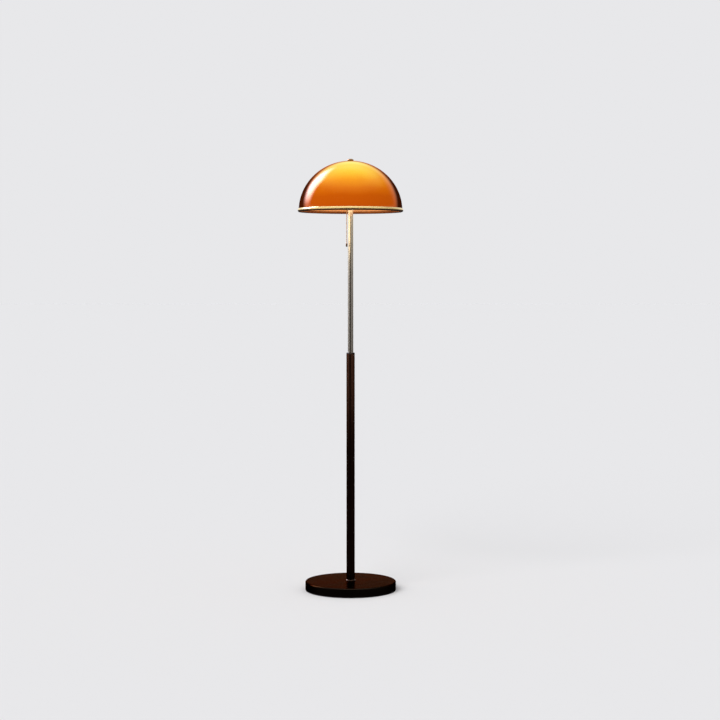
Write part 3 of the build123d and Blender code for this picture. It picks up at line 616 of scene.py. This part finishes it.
def new_growth(name, sizes):
    """A Geometry Nodes tree with named float inputs; returns it and its inputs."""
    growth = bpy.data.node_groups.new(name, "GeometryNodeTree")
    growth.interface.new_socket("Route", in_out="INPUT", socket_type="NodeSocketGeometry")
    for size, value in sizes.items():
        kind = "NodeSocketInt" if isinstance(value, int) else "NodeSocketFloat"
        growth.interface.new_socket(size, in_out="INPUT", socket_type=kind).default_value = value
    growth.interface.new_socket("Piece", in_out="OUTPUT", socket_type="NodeSocketGeometry")
    return growth, growth.nodes.new("NodeGroupInput").outputs


def end_growth(growth, geometry, finish):
    """Ends a tree in real geometry with its material."""
    real = result_of(growth, "GeometryNodeRealizeInstances", {0: geometry})
    painted = result_of(growth, "GeometryNodeSetMaterial", {0: real, "Material": finish})
    feed(growth.nodes.new("NodeGroupOutput"), 0, painted)


def moved(growth, geometry, x=0.0, y=0.0, z=0.0):
    """Geometry moved by three amounts."""
    by = result_of(growth, "ShaderNodeCombineXYZ", {0: x, 1: y, 2: z})
    return result_of(growth, "GeometryNodeTransform", {"Geometry": geometry, "Translation": by})


def grown_mesh(growth, values, carrier=None):
    """Runs a tree with its inputs set and returns the plain mesh that it makes."""
    holder = carrier or bpy.data.objects.new("holder", bpy.data.meshes.new("holder"))
    if holder.name not in bpy.context.scene.objects:
        bpy.context.scene.collection.objects.link(holder)
    modifier = holder.modifiers.new("growth", "NODES")
    modifier.node_group = growth
    names = {item.name: item.identifier for item in growth.interface.items_tree if item.in_out == "INPUT"}
    for size, value in values.items():
        modifier[names[size]] = value
    evaluated = holder.evaluated_get(bpy.context.evaluated_depsgraph_get())
    made = bpy.data.meshes.new_from_object(evaluated)
    holder.modifiers.remove(modifier)
    bpy.data.objects.remove(holder)
    tidy = bmesh.new()
    tidy.from_mesh(made)
    bmesh.ops.remove_doubles(tidy, verts=tidy.verts, dist=1e-6)
    bmesh.ops.recalc_face_normals(tidy, faces=tidy.faces)
    tidy.to_mesh(made)
    tidy.free()
    made.shade_smooth()
    made.set_sharp_from_angle(angle=radians(40))
    return made


coil, given = new_growth(
    "coil_spring", {"Radius": 1.0, "Wire": 1.0, "Height": 1.0, "Coils": 1.0, "X": 0.0, "Y": 0.0, "Z": 0.0}
)
wire_line = result_of(
    coil,
    "GeometryNodeCurveSpiral",
    {
        "Resolution": 24, "Rotations": given["Coils"], "Height": given["Height"],
        "Start Radius": given["Radius"], "End Radius": given["Radius"],
    },
)
wire_round = result_of(
    coil, "GeometryNodeCurvePrimitiveCircle", {"Resolution": 8, "Radius": given["Wire"]}
)
wire_mesh = result_of(
    coil, "GeometryNodeCurveToMesh", {"Curve": wire_line, "Profile Curve": wire_round, "Fill Caps": True}
)
end_growth(coil, moved(coil, wire_mesh, given["X"], given["Y"], given["Z"]), zinc_plate)

low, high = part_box("return_spring")
spring_line = (low + high) / 2
spring_mesh = grown_mesh(
    coil,
    {
        "Radius": (high.x - low.x) / 2 - SPRING_WIRE, "Wire": SPRING_WIRE,
        "Height": high.z - low.z - 2 * SPRING_WIRE, "Coils": SPRING_COILS,
        "X": spring_line.x, "Y": spring_line.y, "Z": low.z + SPRING_WIRE,
    },
)
spring = new_piece("coil_spring", spring_mesh, zinc_plate, "mast", ["return_spring"])
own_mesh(spring)

# ---- Pull chain and knob -----------------------------------------------------
# A chain of hollow brass beads on short pins, with its first bead captive in the
# switch's plunger and its last in a small bell-shaped knob of bronzed brass.

BEAD_RADIUS = 1.6 * MM
BEAD_COUNT = 33
PIN_RADIUS = 0.45 * MM
CHAIN_BRASS = (0.55, 0.38, 0.20, 1)
CHAIN_TARNISH = (0.32, 0.20, 0.10, 1)
KNOB_NECK = 2.3 * MM
KNOB_BORE = 1.7 * MM
KNOB_SOCKET = 5.1 * MM  # deep, for the last bead
KNOB_BOWL = 3.6 * MM  # the height of its round end
KNOB_BRONZE = (0.055, 0.030, 0.018, 1)
KNOB_RUBBED = (0.20, 0.11, 0.06, 1)

chain_brass = coloured_metal("chain_brass", CHAIN_BRASS, CHAIN_TARNISH, 0.36, 1500.0, (1, 1, 1), 0.02 * MM)
knob_bronze = coloured_metal("knob_bronze", KNOB_RUBBED, KNOB_BRONZE, 0.3, 900.0, (1, 1, 1), 0.02 * MM)

low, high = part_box("pull_chain")
chain_x, chain_y = (low.x + high.x) / 2, (low.y + high.y) / 2
chain_top, chain_end = high.z - BEAD_RADIUS, low.z + BEAD_RADIUS
route_curve = bpy.data.curves.new("chain_route", "CURVE")
route_curve.dimensions = "3D"
route_line = route_curve.splines.new("NURBS")
route_line.points.add(4)
for at, point in enumerate(route_line.points):
    point.co = (chain_x, chain_y, chain_top + (chain_end - chain_top) * at / 4, 1)
route_line.order_u = 3
route_line.use_endpoint_u = True
route_object = bpy.data.objects.new("chain_route", route_curve)
route_points = [tuple(v.co) for v in bpy.data.meshes.new_from_object(route_object).vertices]

chain_sizes = {"Beads": BEAD_COUNT, "Bead Radius": BEAD_RADIUS, "Pin Radius": PIN_RADIUS}
beads, given = new_growth("bead_chain", chain_sizes)
bead_places = put(
    beads, "GeometryNodeCurveToPoints", {"Curve": given["Route"], "Count": given["Beads"]}, mode="COUNT"
)
ball_sizes = {"Segments": 16, "Rings": 11, "Radius": given["Bead Radius"]}
bead_ball = result_of(beads, "GeometryNodeMeshUVSphere", ball_sizes)
bead_row = result_of(
    beads,
    "GeometryNodeInstanceOnPoints",
    {
        "Points": bead_places.outputs["Points"], "Instance": bead_ball,
        "Rotation": bead_places.outputs["Rotation"],
    },
)
pin_round = result_of(
    beads, "GeometryNodeCurvePrimitiveCircle", {"Resolution": 8, "Radius": given["Pin Radius"]}
)
pin_row = result_of(
    beads, "GeometryNodeCurveToMesh", {"Curve": given["Route"], "Profile Curve": pin_round, "Fill Caps": True}
)
chain_joined = put(beads, "GeometryNodeJoinGeometry")
feed(chain_joined, 0, bead_row)
feed(chain_joined, 0, pin_row)
end_growth(beads, chain_joined.outputs[0], chain_brass)

chain_mesh = grown_mesh(beads, chain_sizes, carrier=route_object)
chain = new_piece("bead_chain", chain_mesh, chain_brass, "pull", ["pull_chain"])

low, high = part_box("pull_knob")
knob_radius = (high.x - low.x) / 2
knob_outline = [(0, low.z)]
for n in range(1, 9):
    turn = pi / 2 * n / 8
    knob_outline.append((knob_radius * sin(turn), low.z + KNOB_BOWL * (1 - cos(turn))))
knob_outline += [
    (knob_radius * 0.985, low.z + 5.2 * MM),
    (KNOB_NECK + 0.62 * (knob_radius - KNOB_NECK), low.z + 7.3 * MM),
    (KNOB_NECK + 0.26 * (knob_radius - KNOB_NECK), low.z + 9.2 * MM),
    (KNOB_NECK, high.z - 0.3 * MM),
    (KNOB_NECK - 0.3 * MM, high.z),
    (KNOB_BORE, high.z),
    (KNOB_BORE, high.z - KNOB_SOCKET),
    (0, high.z - KNOB_SOCKET),
]
knob_mesh = turned_mesh(knob_outline, 32, centre=(chain_x, chain_y), closed=False)
knob = new_piece("chain_knob", knob_mesh, knob_bronze, "pull", ["pull_knob"])

# ---- Lampholder --------------------------------------------------------------
# A glazed porcelain cup with a brass screw shell and a sprung centre contact. Two steel
# screws fix it to the lid, and two brass ones in its sides take the supply wires.

GLAZE = (0.80, 0.78, 0.73, 1)
GLAZE_THIN = (0.66, 0.62, 0.55, 1)
BRASS = (0.68, 0.44, 0.20, 1)
BRASS_DULL = (0.50, 0.30, 0.13, 1)
SCREW_RADIUS = 1.5 * MM
SCREW_HEAD_RADIUS = 2.8 * MM
SCREW_HEAD_HEIGHT = 1.8 * MM
TERMINAL_SEAT = 19.1 * MM  # where a terminal screw's head lies, from the pole's line
TERMINAL_SHANK = 6.1 * MM
FIXING_OFFSET = 9 * MM

porcelain, tree, shader = new_finish(
    "porcelain", {"Roughness": 0.18, "Coat Weight": 0.6, "Coat Roughness": 0.06}
)
pooling = grain_of(tree, 90.0, 4.0)
glaze_tone = blend_colours(tree, calc(tree, "MULTIPLY", pooling["Tone"], 0.4), GLAZE, GLAZE_THIN)
feed(shader, "Base Color", glaze_tone)
add_bump(tree, shader, pooling["Height"], 0.15 * MM)
dress("lampholder_body", porcelain)

brass_turned = coloured_metal("brass_turned", BRASS, BRASS_DULL, 0.22, 1600.0, (1, 1, 1), 0.01 * MM)
dress("lampholder_shell", brass_turned)
dress("centre_contact", brass_turned)

screws, given = new_growth(
    "slotted_screw", {"Shank Radius": 1.0, "Shank Length": 1.0, "Head Radius": 1.0, "Head Height": 1.0}
)
shank = result_of(
    screws, "GeometryNodeMeshCylinder",
    {"Vertices": 20, "Radius": given["Shank Radius"], "Depth": given["Shank Length"]},
)
shank_middle = calc(screws, "MULTIPLY", given["Shank Length"], -0.499)  # its end is inside the head
shank = moved(screws, shank, z=shank_middle)
head = result_of(
    screws, "GeometryNodeMeshCylinder",
    {"Vertices": 28, "Radius": given["Head Radius"], "Depth": given["Head Height"]},
)
head = moved(screws, head, z=calc(screws, "MULTIPLY", given["Head Height"], 0.5))
slot_size = result_of(
    screws, "ShaderNodeCombineXYZ",
    {
        0: calc(screws, "MULTIPLY", given["Head Radius"], 2.4),
        1: calc(screws, "MULTIPLY", given["Head Radius"], 0.28),
        2: given["Head Height"],
    },
)
slot_block = result_of(screws, "GeometryNodeMeshCube", {"Size": slot_size})
slot_block = moved(screws, slot_block, z=given["Head Height"])
slotted = put(screws, "GeometryNodeMeshBoolean", {"Mesh 1": head}, operation="DIFFERENCE")
feed(slotted, "Mesh 2", slot_block)
screw_made = put(screws, "GeometryNodeJoinGeometry")
feed(screw_made, 0, slotted.outputs[0])
feed(screw_made, 0, shank)
outwards = result_of(
    screws, "GeometryNodeInputNamedAttribute", {"Name": "outwards"}, data_type="FLOAT_VECTOR"
)
screw_places = result_of(
    screws, "GeometryNodeInstanceOnPoints",
    {
        "Points": result_of(screws, "GeometryNodeMeshToPoints", {0: given["Route"]}),
        "Instance": screw_made.outputs[0],
        "Rotation": result_of(
            screws, "FunctionNodeAlignEulerToVector", {"Vector": outwards}, axis="Z"
        ),
    },
)
end_growth(screws, screw_places, brass_turned)


def screw_set(name, places, values, finish, node):
    """Slotted screws at places, each a point under its head and the way it looks."""
    seats = bpy.data.meshes.new(name)
    seats.from_pydata([at for at, _ in places], [], [])
    outwards = seats.attributes.new("outwards", "FLOAT_VECTOR", "POINT")
    outwards.data.foreach_set("vector", [c for _, way in places for c in way])
    mesh = grown_mesh(screws, values, carrier=bpy.data.objects.new(name, seats))
    return new_piece(name, mesh, finish, "mast", [node])


low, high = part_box("terminal_screws")
terminal_z = (low.z + high.z) / 2
screw_set(
    "wire_screws",
    [((0, side * TERMINAL_SEAT, terminal_z), (0, side, 0)) for side in (-1, 1)],
    {
        "Shank Radius": SCREW_RADIUS, "Shank Length": TERMINAL_SHANK, "Head Radius": SCREW_HEAD_RADIUS,
        "Head Height": high.y - TERMINAL_SEAT,
    },
    brass_turned, "terminal_screws",
)
low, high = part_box("lampholder_screws")
fixing_seat = high.z - SCREW_HEAD_HEIGHT
screw_set(
    "fixing_screws",
    [((side * FIXING_OFFSET, 0, fixing_seat), (0, 0, 1)) for side in (-1, 1)],
    {
        "Shank Radius": SCREW_RADIUS, "Shank Length": fixing_seat - low.z, "Head Radius": SCREW_HEAD_RADIUS,
        "Head Height": SCREW_HEAD_HEIGHT,
    },
    zinc_plate, "lampholder_screws",
)

# ---- Bulb --------------------------------------------------------------------
# A lit globe bulb of opal glass, with a glass stem that carries the filament and a
# pressed screw cap cemented to its neck. Its warm light leaves the shade's mouth and
# lies on the metal under it.

BULB_GLOW = (1.0, 0.74, 0.42, 1)
BULB_GLOW_STRENGTH = 5.0
OPAL = (0.92, 0.90, 0.85, 1)
OPAL_THIN = (0.84, 0.80, 0.72, 1)

opal, tree, shader = new_finish(
    "opal_glass", {"Roughness": 0.12, "Coat Weight": 0.3, "Emission Strength": BULB_GLOW_STRENGTH}
)
clouding = grain_of(tree, 60.0, 3.0)
feed(shader, "Base Color", blend_colours(tree, clouding["Tone"], OPAL, OPAL_THIN))
glow_tone = blend_colours(tree, calc(tree, "MULTIPLY", clouding["Tone"], 0.2), BULB_GLOW, OPAL_THIN)
feed(shader, "Emission Color", glow_tone)
dress("bulb_glass", opal)
dress("bulb_cap", coloured_metal("bulb_cap_metal", ZINC, ZINC_DULL, 0.25, 900.0, (1, 1, 1), 0.01 * MM))

stem_glass, tree, shader = new_finish("stem_glass", {"Transmission Weight": 1.0, "IOR": 1.5})
drawn = grain_of(tree, 300.0, 2.0, (1, 1, 0.2))
feed(shader, "Roughness", ramp_between(tree, drawn["Tone"], 0, 1, 0.02, 0.10))
dress("bulb_stem", stem_glass)

MOUTH_GLOW = (1.0, 0.84, 0.62)
MOUTH_GLOW_RADIUS = 150 * MM
MOUTH_GLOW_RISE = 8 * MM  # above the rim
MOUTH_GLOW_POWER = 0.45

mouth_glow = new_light(
    "mouth_glow", "AREA", (0, 0, 1), MOUTH_GLOW_POWER,
    shape="DISK", size=2 * MOUTH_GLOW_RADIUS, color=MOUTH_GLOW,
)
mouth_glow.location = (0, 0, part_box("shade_dome")[0].z + MOUTH_GLOW_RISE)
mouth_glow.visible_camera = mouth_glow.visible_diffuse = False
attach(mouth_glow, "mast")

TUNGSTEN, TUNGSTEN_WORN = (0.45, 0.42, 0.40, 1), (0.30, 0.28, 0.26, 1)
WIRE_GLOW, WIRE_GLOW_DEEP = (1, 0.75, 0.40, 1), (1, 0.60, 0.25, 1)

filament, tree, shader = new_finish(
    "filament_wire", {"Metallic": 1.0, "Roughness": 0.4, "Emission Strength": 8.0}
)
wire_tone = grain_of(tree, 2500.0, 1.0)["Tone"]
feed(shader, "Base Color", blend_colours(tree, wire_tone, TUNGSTEN_WORN, TUNGSTEN))
feed(shader, "Emission Color", blend_colours(tree, wire_tone, WIRE_GLOW_DEEP, WIRE_GLOW))
dress("bulb_filament", filament)

# ---- Harp --------------------------------------------------------------------
# A bow of zinc-plated steel wire round the bulb. Knurled brass sleeves lock its feet
# to the saddle's posts, and a stud riveted through its top carries the shade.

KNURL_COUNT = 30
KNURL_DEPTH = 0.22 * MM
FERRULE_BORE = 2.1 * MM
FERRULE_PLAIN = 3.0 * MM  # the plain stretch at each end of the knurling

harp_plate = coloured_metal("harp_plate", ZINC, ZINC_DULL, 0.22, 1200.0, (1, 1, 0.1), 0.01 * MM)
dress("harp", harp_plate)
dress("harp_stud", zinc_plate)


def knurled_mesh(outline, band, steps, count, depth, centre):
    """A turned piece whose outside has fine upright grooves between two heights."""
    mesh = turned_mesh(outline, steps, centre=centre, hard=30)
    reach = max(r for r, _ in outline)
    for vertex in mesh.vertices:
        away = Vector((vertex.co.x - centre[0], vertex.co.y - centre[1], 0))
        if band[0] < vertex.co.z < band[1] and away.length > reach - 1e-5:
            turn = atan2(away.y, away.x)
            vertex.co -= away.normalized() * depth * (0.5 + 0.5 * cos(count * turn))
    return mesh


low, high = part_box("harp_ferrules")
ferrule_radius = (high.y - low.y) / 2
ferrule_x = high.x - ferrule_radius
for side, name in ((-1, "ferrule_left"), (1, "ferrule_right")):
    ferrule_outline = rounded_outline(
        [
            (FERRULE_BORE, high.z, 0),
            (ferrule_radius, high.z, 0.4 * MM),
            (ferrule_radius, high.z - FERRULE_PLAIN, 0),
            (ferrule_radius, high.z - FERRULE_PLAIN - 0.1 * MM, 0),
            (ferrule_radius, low.z + FERRULE_PLAIN + 0.1 * MM, 0),
            (ferrule_radius, low.z + FERRULE_PLAIN, 0),
            (ferrule_radius, low.z, 0.4 * MM),
            (FERRULE_BORE, low.z, 0),
        ],
        3,
    )
    knurled_band = (low.z + FERRULE_PLAIN + 0.05 * MM, high.z - FERRULE_PLAIN - 0.05 * MM)
    ferrule_mesh = knurled_mesh(
        ferrule_outline, knurled_band, 4 * KNURL_COUNT, KNURL_COUNT, KNURL_DEPTH, (side * ferrule_x, 0)
    )
    new_piece(name, ferrule_mesh, brass_turned, "mast", ["harp_ferrules"])

# ---- Shade dome --------------------------------------------------------------
# A blown dome of amber acrylic, glossy outside and satin inside. The bulb makes it glow,
# yellow at the crown and deep orange at the rim. Its colour deepens and turns dark at its
# edges: a little from the longer path through the dyed wall, mostly painted shade.

DOME_WALL = 3.0 * MM
DOME_HOLE = 4.2 * MM
DOME_ROWS = 72
DOME_TURNS = 256
DOME_GLOW = 0.62  # of its colour comes from the bulb, and the rest from the room's light
EDGE_SHADE_AT_RIM = (0.055, 0.0085, 0.0015, 1)
EDGE_SHADE_AT_CROWN = (0.50, 0.105, 0.005, 1)
EDGE_SHADE_REACH = (0.43, 0.61)  # how far a face has to turn away at the rim
EDGE_SHADE_NARROWING = 0.34  # and how much further at the crown
SIDE_SHADE_DEEPENING = 0.24  # how far down the colour moves where a face turns away, as painted shade
AMBER_SHEEN = (1, 0.74, 0.17, 1)
INSIDE_AT_RIM = (0.46, 0.19, 0.060, 1)
INSIDE_AT_CROWN = (0.97, 0.66, 0.26, 1)
INSIDE_GLOW = (0.7, 0.7, 0.7, 1)
AMBER_STOPS = (
    (0.00, (0.53, 0.078, 0.0020, 1)),
    (0.26, (0.56, 0.094, 0.0020, 1)),
    (0.42, (0.69, 0.150, 0.0026, 1)),
    (0.58, (0.87, 0.300, 0.0050, 1)),
    (0.74, (0.96, 0.560, 0.0180, 1)),
    (0.92, (0.98, 0.830, 0.0900, 1)),
)

low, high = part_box("shade_dome")
dome_radius, dome_rim = high.x, low.z
dome_hole_share = DOME_HOLE / dome_radius
dome_rise = (high.z - low.z) / sqrt(1 - dome_hole_share**2)

dome, given = new_growth(
    "dome_wall",
    {"Radius": 1.0, "Rise": 1.0, "Wall": 0.1, "Hole": 0.1, "Rim Height": 0.0, "Rows": 8, "Turns": 8},
)
row_total = calc(dome, "ADD", calc(dome, "MULTIPLY", given["Rows"], 2.0), 1.0)
grid = result_of(
    dome,
    "GeometryNodeMeshGrid",
    {
        "Size X": row_total, "Size Y": 2 * pi,
        "Vertices X": calc(dome, "ADD", row_total, 1.0), "Vertices Y": calc(dome, "ADD", given["Turns"], 1.0),
    },
)
grid_point = result_of(dome, "GeometryNodeInputPosition")
grid_place = put(dome, "ShaderNodeSeparateXYZ", {0: grid_point}).outputs
row = calc(dome, "ROUND", calc(dome, "ADD", grid_place["X"], calc(dome, "MULTIPLY", row_total, 0.5)))
inside = calc(dome, "GREATER_THAN", row, given["Rows"])
outer_share = calc(dome, "DIVIDE", row, given["Rows"])
inner_share = calc(dome, "DIVIDE", calc(dome, "SUBTRACT", row_total, row), given["Rows"])
share_down = calc(
    dome, "ADD",
    calc(dome, "MULTIPLY", outer_share, calc(dome, "SUBTRACT", 1.0, inside)),
    calc(dome, "MULTIPLY", inner_share, inside),
)
thinner = calc(dome, "MULTIPLY", given["Wall"], inside)
half_width = calc(dome, "SUBTRACT", given["Radius"], thinner)
half_height = calc(dome, "SUBTRACT", given["Rise"], thinner)
crown_angle = calc(dome, "ARCCOSINE", calc(dome, "DIVIDE", given["Hole"], half_width))
angle = calc(dome, "MULTIPLY", crown_angle, calc(dome, "SUBTRACT", 1.0, share_down))
wall_radius = calc(dome, "MULTIPLY", half_width, calc(dome, "COSINE", angle))
wall_rise = calc(dome, "MULTIPLY", half_height, calc(dome, "SINE", angle))
wall_height = calc(dome, "ADD", wall_rise, given["Rim Height"])
wall_place = result_of(
    dome,
    "ShaderNodeCombineXYZ",
    {
        0: calc(dome, "MULTIPLY", wall_radius, calc(dome, "COSINE", grid_place["Y"])),
        1: calc(dome, "MULTIPLY", wall_radius, calc(dome, "SINE", grid_place["Y"])),
        2: wall_height,
    },
)
dome_shell = result_of(dome, "GeometryNodeSetPosition", {"Geometry": grid, "Position": wall_place})
dome_shell = result_of(
    dome, "GeometryNodeMergeByDistance", {"Geometry": dome_shell, "Distance": 0.001 * MM}
)

amber, tree, shader = new_finish(
    "amber_acrylic",
    {"Roughness": 0.05, "Emission Strength": 1.0, "Specular IOR Level": 0.5, "Specular Tint": AMBER_SHEEN},
)
height_share = ramp_between(tree, height_in(tree), dome_rim, high.z, shape="LINEAR")
turned_away = put(tree, "ShaderNodeLayerWeight", {"Blend": 0.5}).outputs["Facing"]
# Painted shade: the colour moves down towards deep orange where a face turns away.
side_shade = calc(tree, "MULTIPLY", ramp_between(tree, turned_away, 0.35, 0.85), SIDE_SHADE_DEEPENING)
below_crown = calc(tree, "SUBTRACT", 1.0, calc(tree, "POWER", height_share, 6.0))
side_share = calc(tree, "SUBTRACT", 1.0, calc(tree, "MULTIPLY", side_shade, below_crown))
height_share = calc(tree, "MULTIPLY", height_share, side_share)
dye = grain_of(tree, 22.0, 3.0)
uneven = ramp_between(tree, dye["Tone"], 0, 1, -0.012, 0.012, "LINEAR")
height_share = calc(tree, "ADD", height_share, uneven)
amber_ramp = put(tree, "ShaderNodeValToRGB", {"Fac": height_share})
while len(amber_ramp.color_ramp.elements) < len(AMBER_STOPS):
    amber_ramp.color_ramp.elements.new(0.5)
for element, (stop, colour) in zip(amber_ramp.color_ramp.elements, AMBER_STOPS):
    element.position, element.color = stop, colour
amber_colour = amber_ramp.outputs["Color"]
room_part = blend_colours(tree, 1.0, amber_colour, (1 - DOME_GLOW,) * 3 + (1,), mode="MULTIPLY")
glow_part = blend_colours(tree, 1.0, amber_colour, (DOME_GLOW,) * 3 + (1,), mode="MULTIPLY")
feed(shader, "Base Color", room_part)
feed(shader, "Emission Color", glow_part)
ripple = grain_of(tree, 14.0, 1.0)
add_bump(tree, shader, ripple["Height"], 0.02 * MM)

# Painted shade: a dark wall is mixed in where a face turns away, darker towards the rim.
edge_shade_height = ramp_between(tree, height_share, 0.35, 0.90)
edge_shade = result_of(
    tree, "ShaderNodeBsdfPrincipled",
    {
        "Base Color": blend_colours(tree, edge_shade_height, EDGE_SHADE_AT_RIM, EDGE_SHADE_AT_CROWN),
        "Roughness": 0.12, "Specular IOR Level": 0.0,
    },
)
edge_shade_start = calc(tree, "MULTIPLY", height_share, EDGE_SHADE_NARROWING)
edge_shade_share = ramp_between(tree, calc(tree, "SUBTRACT", turned_away, edge_shade_start), *EDGE_SHADE_REACH)
dome_mix = result_of(tree, "ShaderNodeMixShader", {0: edge_shade_share, 1: shader.outputs[0], 2: edge_shade})
feed(tree.nodes["Material Output"], "Surface", dome_mix)

amber_inside, tree, shader = new_finish("amber_inside", {"Roughness": 0.4, "Emission Strength": 1.0})
satin = grain_of(tree, 900.0, 2.0)
height_share = ramp_between(tree, height_in(tree), dome_rim, high.z, shape="LINEAR")
inner_colour = blend_colours(tree, height_share, INSIDE_AT_RIM, INSIDE_AT_CROWN)
inner_glow = blend_colours(tree, 1.0, inner_colour, INSIDE_GLOW, mode="MULTIPLY")
feed(shader, "Base Color", inner_colour)
feed(shader, "Emission Color", inner_glow)
add_bump(tree, shader, satin["Height"], 0.02 * MM)

end_growth(dome, dome_shell, amber)
dome_mesh = grown_mesh(
    dome,
    {
        "Radius": dome_radius, "Rise": dome_rise, "Wall": DOME_WALL, "Hole": DOME_HOLE,
        "Rim Height": dome_rim, "Rows": DOME_ROWS, "Turns": DOME_TURNS,
    },
)
new_piece("dome_shell", dome_mesh, amber, "mast", ["shade_dome"])
dome_mesh.materials.append(amber_inside)
for face in dome_mesh.polygons:
    outward = Vector((face.center.x, face.center.y, face.center.z - dome_rim))
    face.material_index = 1 if face.normal.dot(outward) < 0 else 0

# ---- Shade ring --------------------------------------------------------------
# A rolled aluminium rim, pressed on the dome's edge: a half-round bead outside, a floor
# under the edge and a low lip inside. Its upper half is polished and lacquered in pale gold,
# its lower half painted brown as painted shade, and its satin inside painted red-brown as painted shade.

TRIM = (1.0, 0.79, 0.35, 1)
TRIM_DULL = (0.92, 0.67, 0.27, 1)
TRIM_METALLIC = 0.35
TRIM_PAINTED_SHADE = (0.060, 0.026, 0.011, 1)
PAINTED_SHADE_BAND = (-1.0 * MM, 0.2 * MM)  # about the bead's middle, from the painted shade to bare
TRIM_INSIDE_SHADED = (0.17, 0.060, 0.020, 1)
TRIM_INSIDE_SHADED_DULL = (0.13, 0.042, 0.013, 1)
LIP_HEIGHT = 8.0 * MM
LIP_WALL = 2.0 * MM

# The inside is painted red-brown: painted shade and painted reflection of the shade's dim amber inside.
trim_satin = coloured_metal("trim_satin", TRIM_INSIDE_SHADED, TRIM_INSIDE_SHADED_DULL, 0.42, 700.0, LATHE_RINGS, 0.003 * MM)
trim_polished = coloured_metal("trim_polished", TRIM, TRIM_DULL, 0.10, 900.0, LATHE_RINGS, 0.0015 * MM)
feed(trim_polished.node_tree.nodes["Principled BSDF"], "Metallic", TRIM_METALLIC)
low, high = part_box("shade_ring")
ring_middle = (low.z + high.z) / 2
# The bead's lower half is painted brown: painted shade for the dark floor it mirrors.
tint_between(trim_polished, TRIM_PAINTED_SHADE, ring_middle + PAINTED_SHADE_BAND[1], ring_middle + PAINTED_SHADE_BAND[0])
ring_seat_radius = dome_radius + SEAT_GAP
bead_reach = high.x - ring_seat_radius
bead_half = (high.z - low.z) / 2
lip_share = (low.z + LIP_HEIGHT - dome_rim) / (dome_rise - DOME_WALL)
lip_outside = (dome_radius - DOME_WALL) * sqrt(1 - lip_share**2) - SEAT_GAP
lip_inside = lip_outside - LIP_WALL
bead_curve = (bead_half**2 + bead_reach**2) / (2 * bead_reach)
bead_turn = acos((bead_curve - bead_reach) / bead_curve)
ring_outline = []
for n in range(17):
    turn = bead_turn * (1 - 2 * n / 16)
    ring_outline.append(
        (high.x - bead_curve + bead_curve * cos(turn), ring_middle + bead_curve * sin(turn))
    )
ring_outline += rounded_outline(
    [
        (ring_seat_radius - 0.01 * MM, low.z, 0),
        (lip_inside, low.z, 1.5 * MM),
        (lip_inside, low.z + LIP_HEIGHT, 0.5 * MM),
        (lip_outside, low.z + LIP_HEIGHT, 0.5 * MM),
        (lip_outside, dome_rim, 0),
        (ring_seat_radius, dome_rim, 0),
    ]
)[1:]
ring_mesh = turned_mesh(ring_outline, 320, hard=35)
new_piece("rim_ring", ring_mesh, trim_polished, "mast", ["shade_ring"])
ring_mesh.materials.append(trim_satin)
for face in ring_mesh.polygons:
    face.material_index = int(Vector((face.center.x, face.center.y)).length < ring_seat_radius - 0.5 * MM)

# ---- Gasket, washer and finial -----------------------------------------------
# The dome rests on a rubber gasket on the stud's boss. A brass washer and a low domed
# cap nut with a finely milled edge hold it down.

RUBBER_BLACK = (0.014, 0.014, 0.014, 1)
RUBBER_WORN = (0.035, 0.034, 0.033, 1)
FINIAL_BRASS = (0.50, 0.27, 0.10, 1)
FINIAL_DULL = (0.34, 0.17, 0.06, 1)
FINIAL_SKIRT = 1.4 * MM
FINIAL_BORE = 3.225 * MM
FINIAL_DEPTH = 4 * MM
MILLED_COUNT = 60
MILLED_DEPTH = 0.18 * MM

dress("shade_gasket", moulded("gasket_rubber", RUBBER_BLACK, RUBBER_WORN, 0.6))
finial_brass = coloured_metal(
    "finial_brass", FINIAL_BRASS, FINIAL_DULL, 0.32, 1300.0, LATHE_RINGS, 0.003 * MM
)
dress("finial_washer", finial_brass)
low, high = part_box("finial")
finial_radius = high.x
finial_outline = [(0, high.z)]
for n in range(1, 13):
    turn = pi / 2 * n / 12
    rise = (high.z - low.z - FINIAL_SKIRT) * cos(turn)
    finial_outline.append((finial_radius * sin(turn), low.z + FINIAL_SKIRT + rise))
finial_outline += [
    (finial_radius, low.z + FINIAL_SKIRT - 0.05 * MM),
    (finial_radius, low.z + 0.2 * MM),
    (finial_radius - 0.2 * MM, low.z),
    (FINIAL_BORE, low.z),
    (FINIAL_BORE, low.z + FINIAL_DEPTH),
    (0, low.z + FINIAL_DEPTH),
]
finial_mesh = turned_mesh(finial_outline, 4 * MILLED_COUNT, closed=False, hard=30)
for vertex in finial_mesh.vertices:
    away = Vector((vertex.co.x, vertex.co.y, 0))
    if vertex.co.z < low.z + FINIAL_SKIRT + 0.1 * MM and away.length > finial_radius - 0.02 * MM:
        turn = atan2(away.y, away.x)
        vertex.co -= away.normalized() * MILLED_DEPTH * (0.5 + 0.5 * cos(MILLED_COUNT * turn))
new_piece("cap_nut", finial_mesh, finial_brass, "finial", ["finial"])
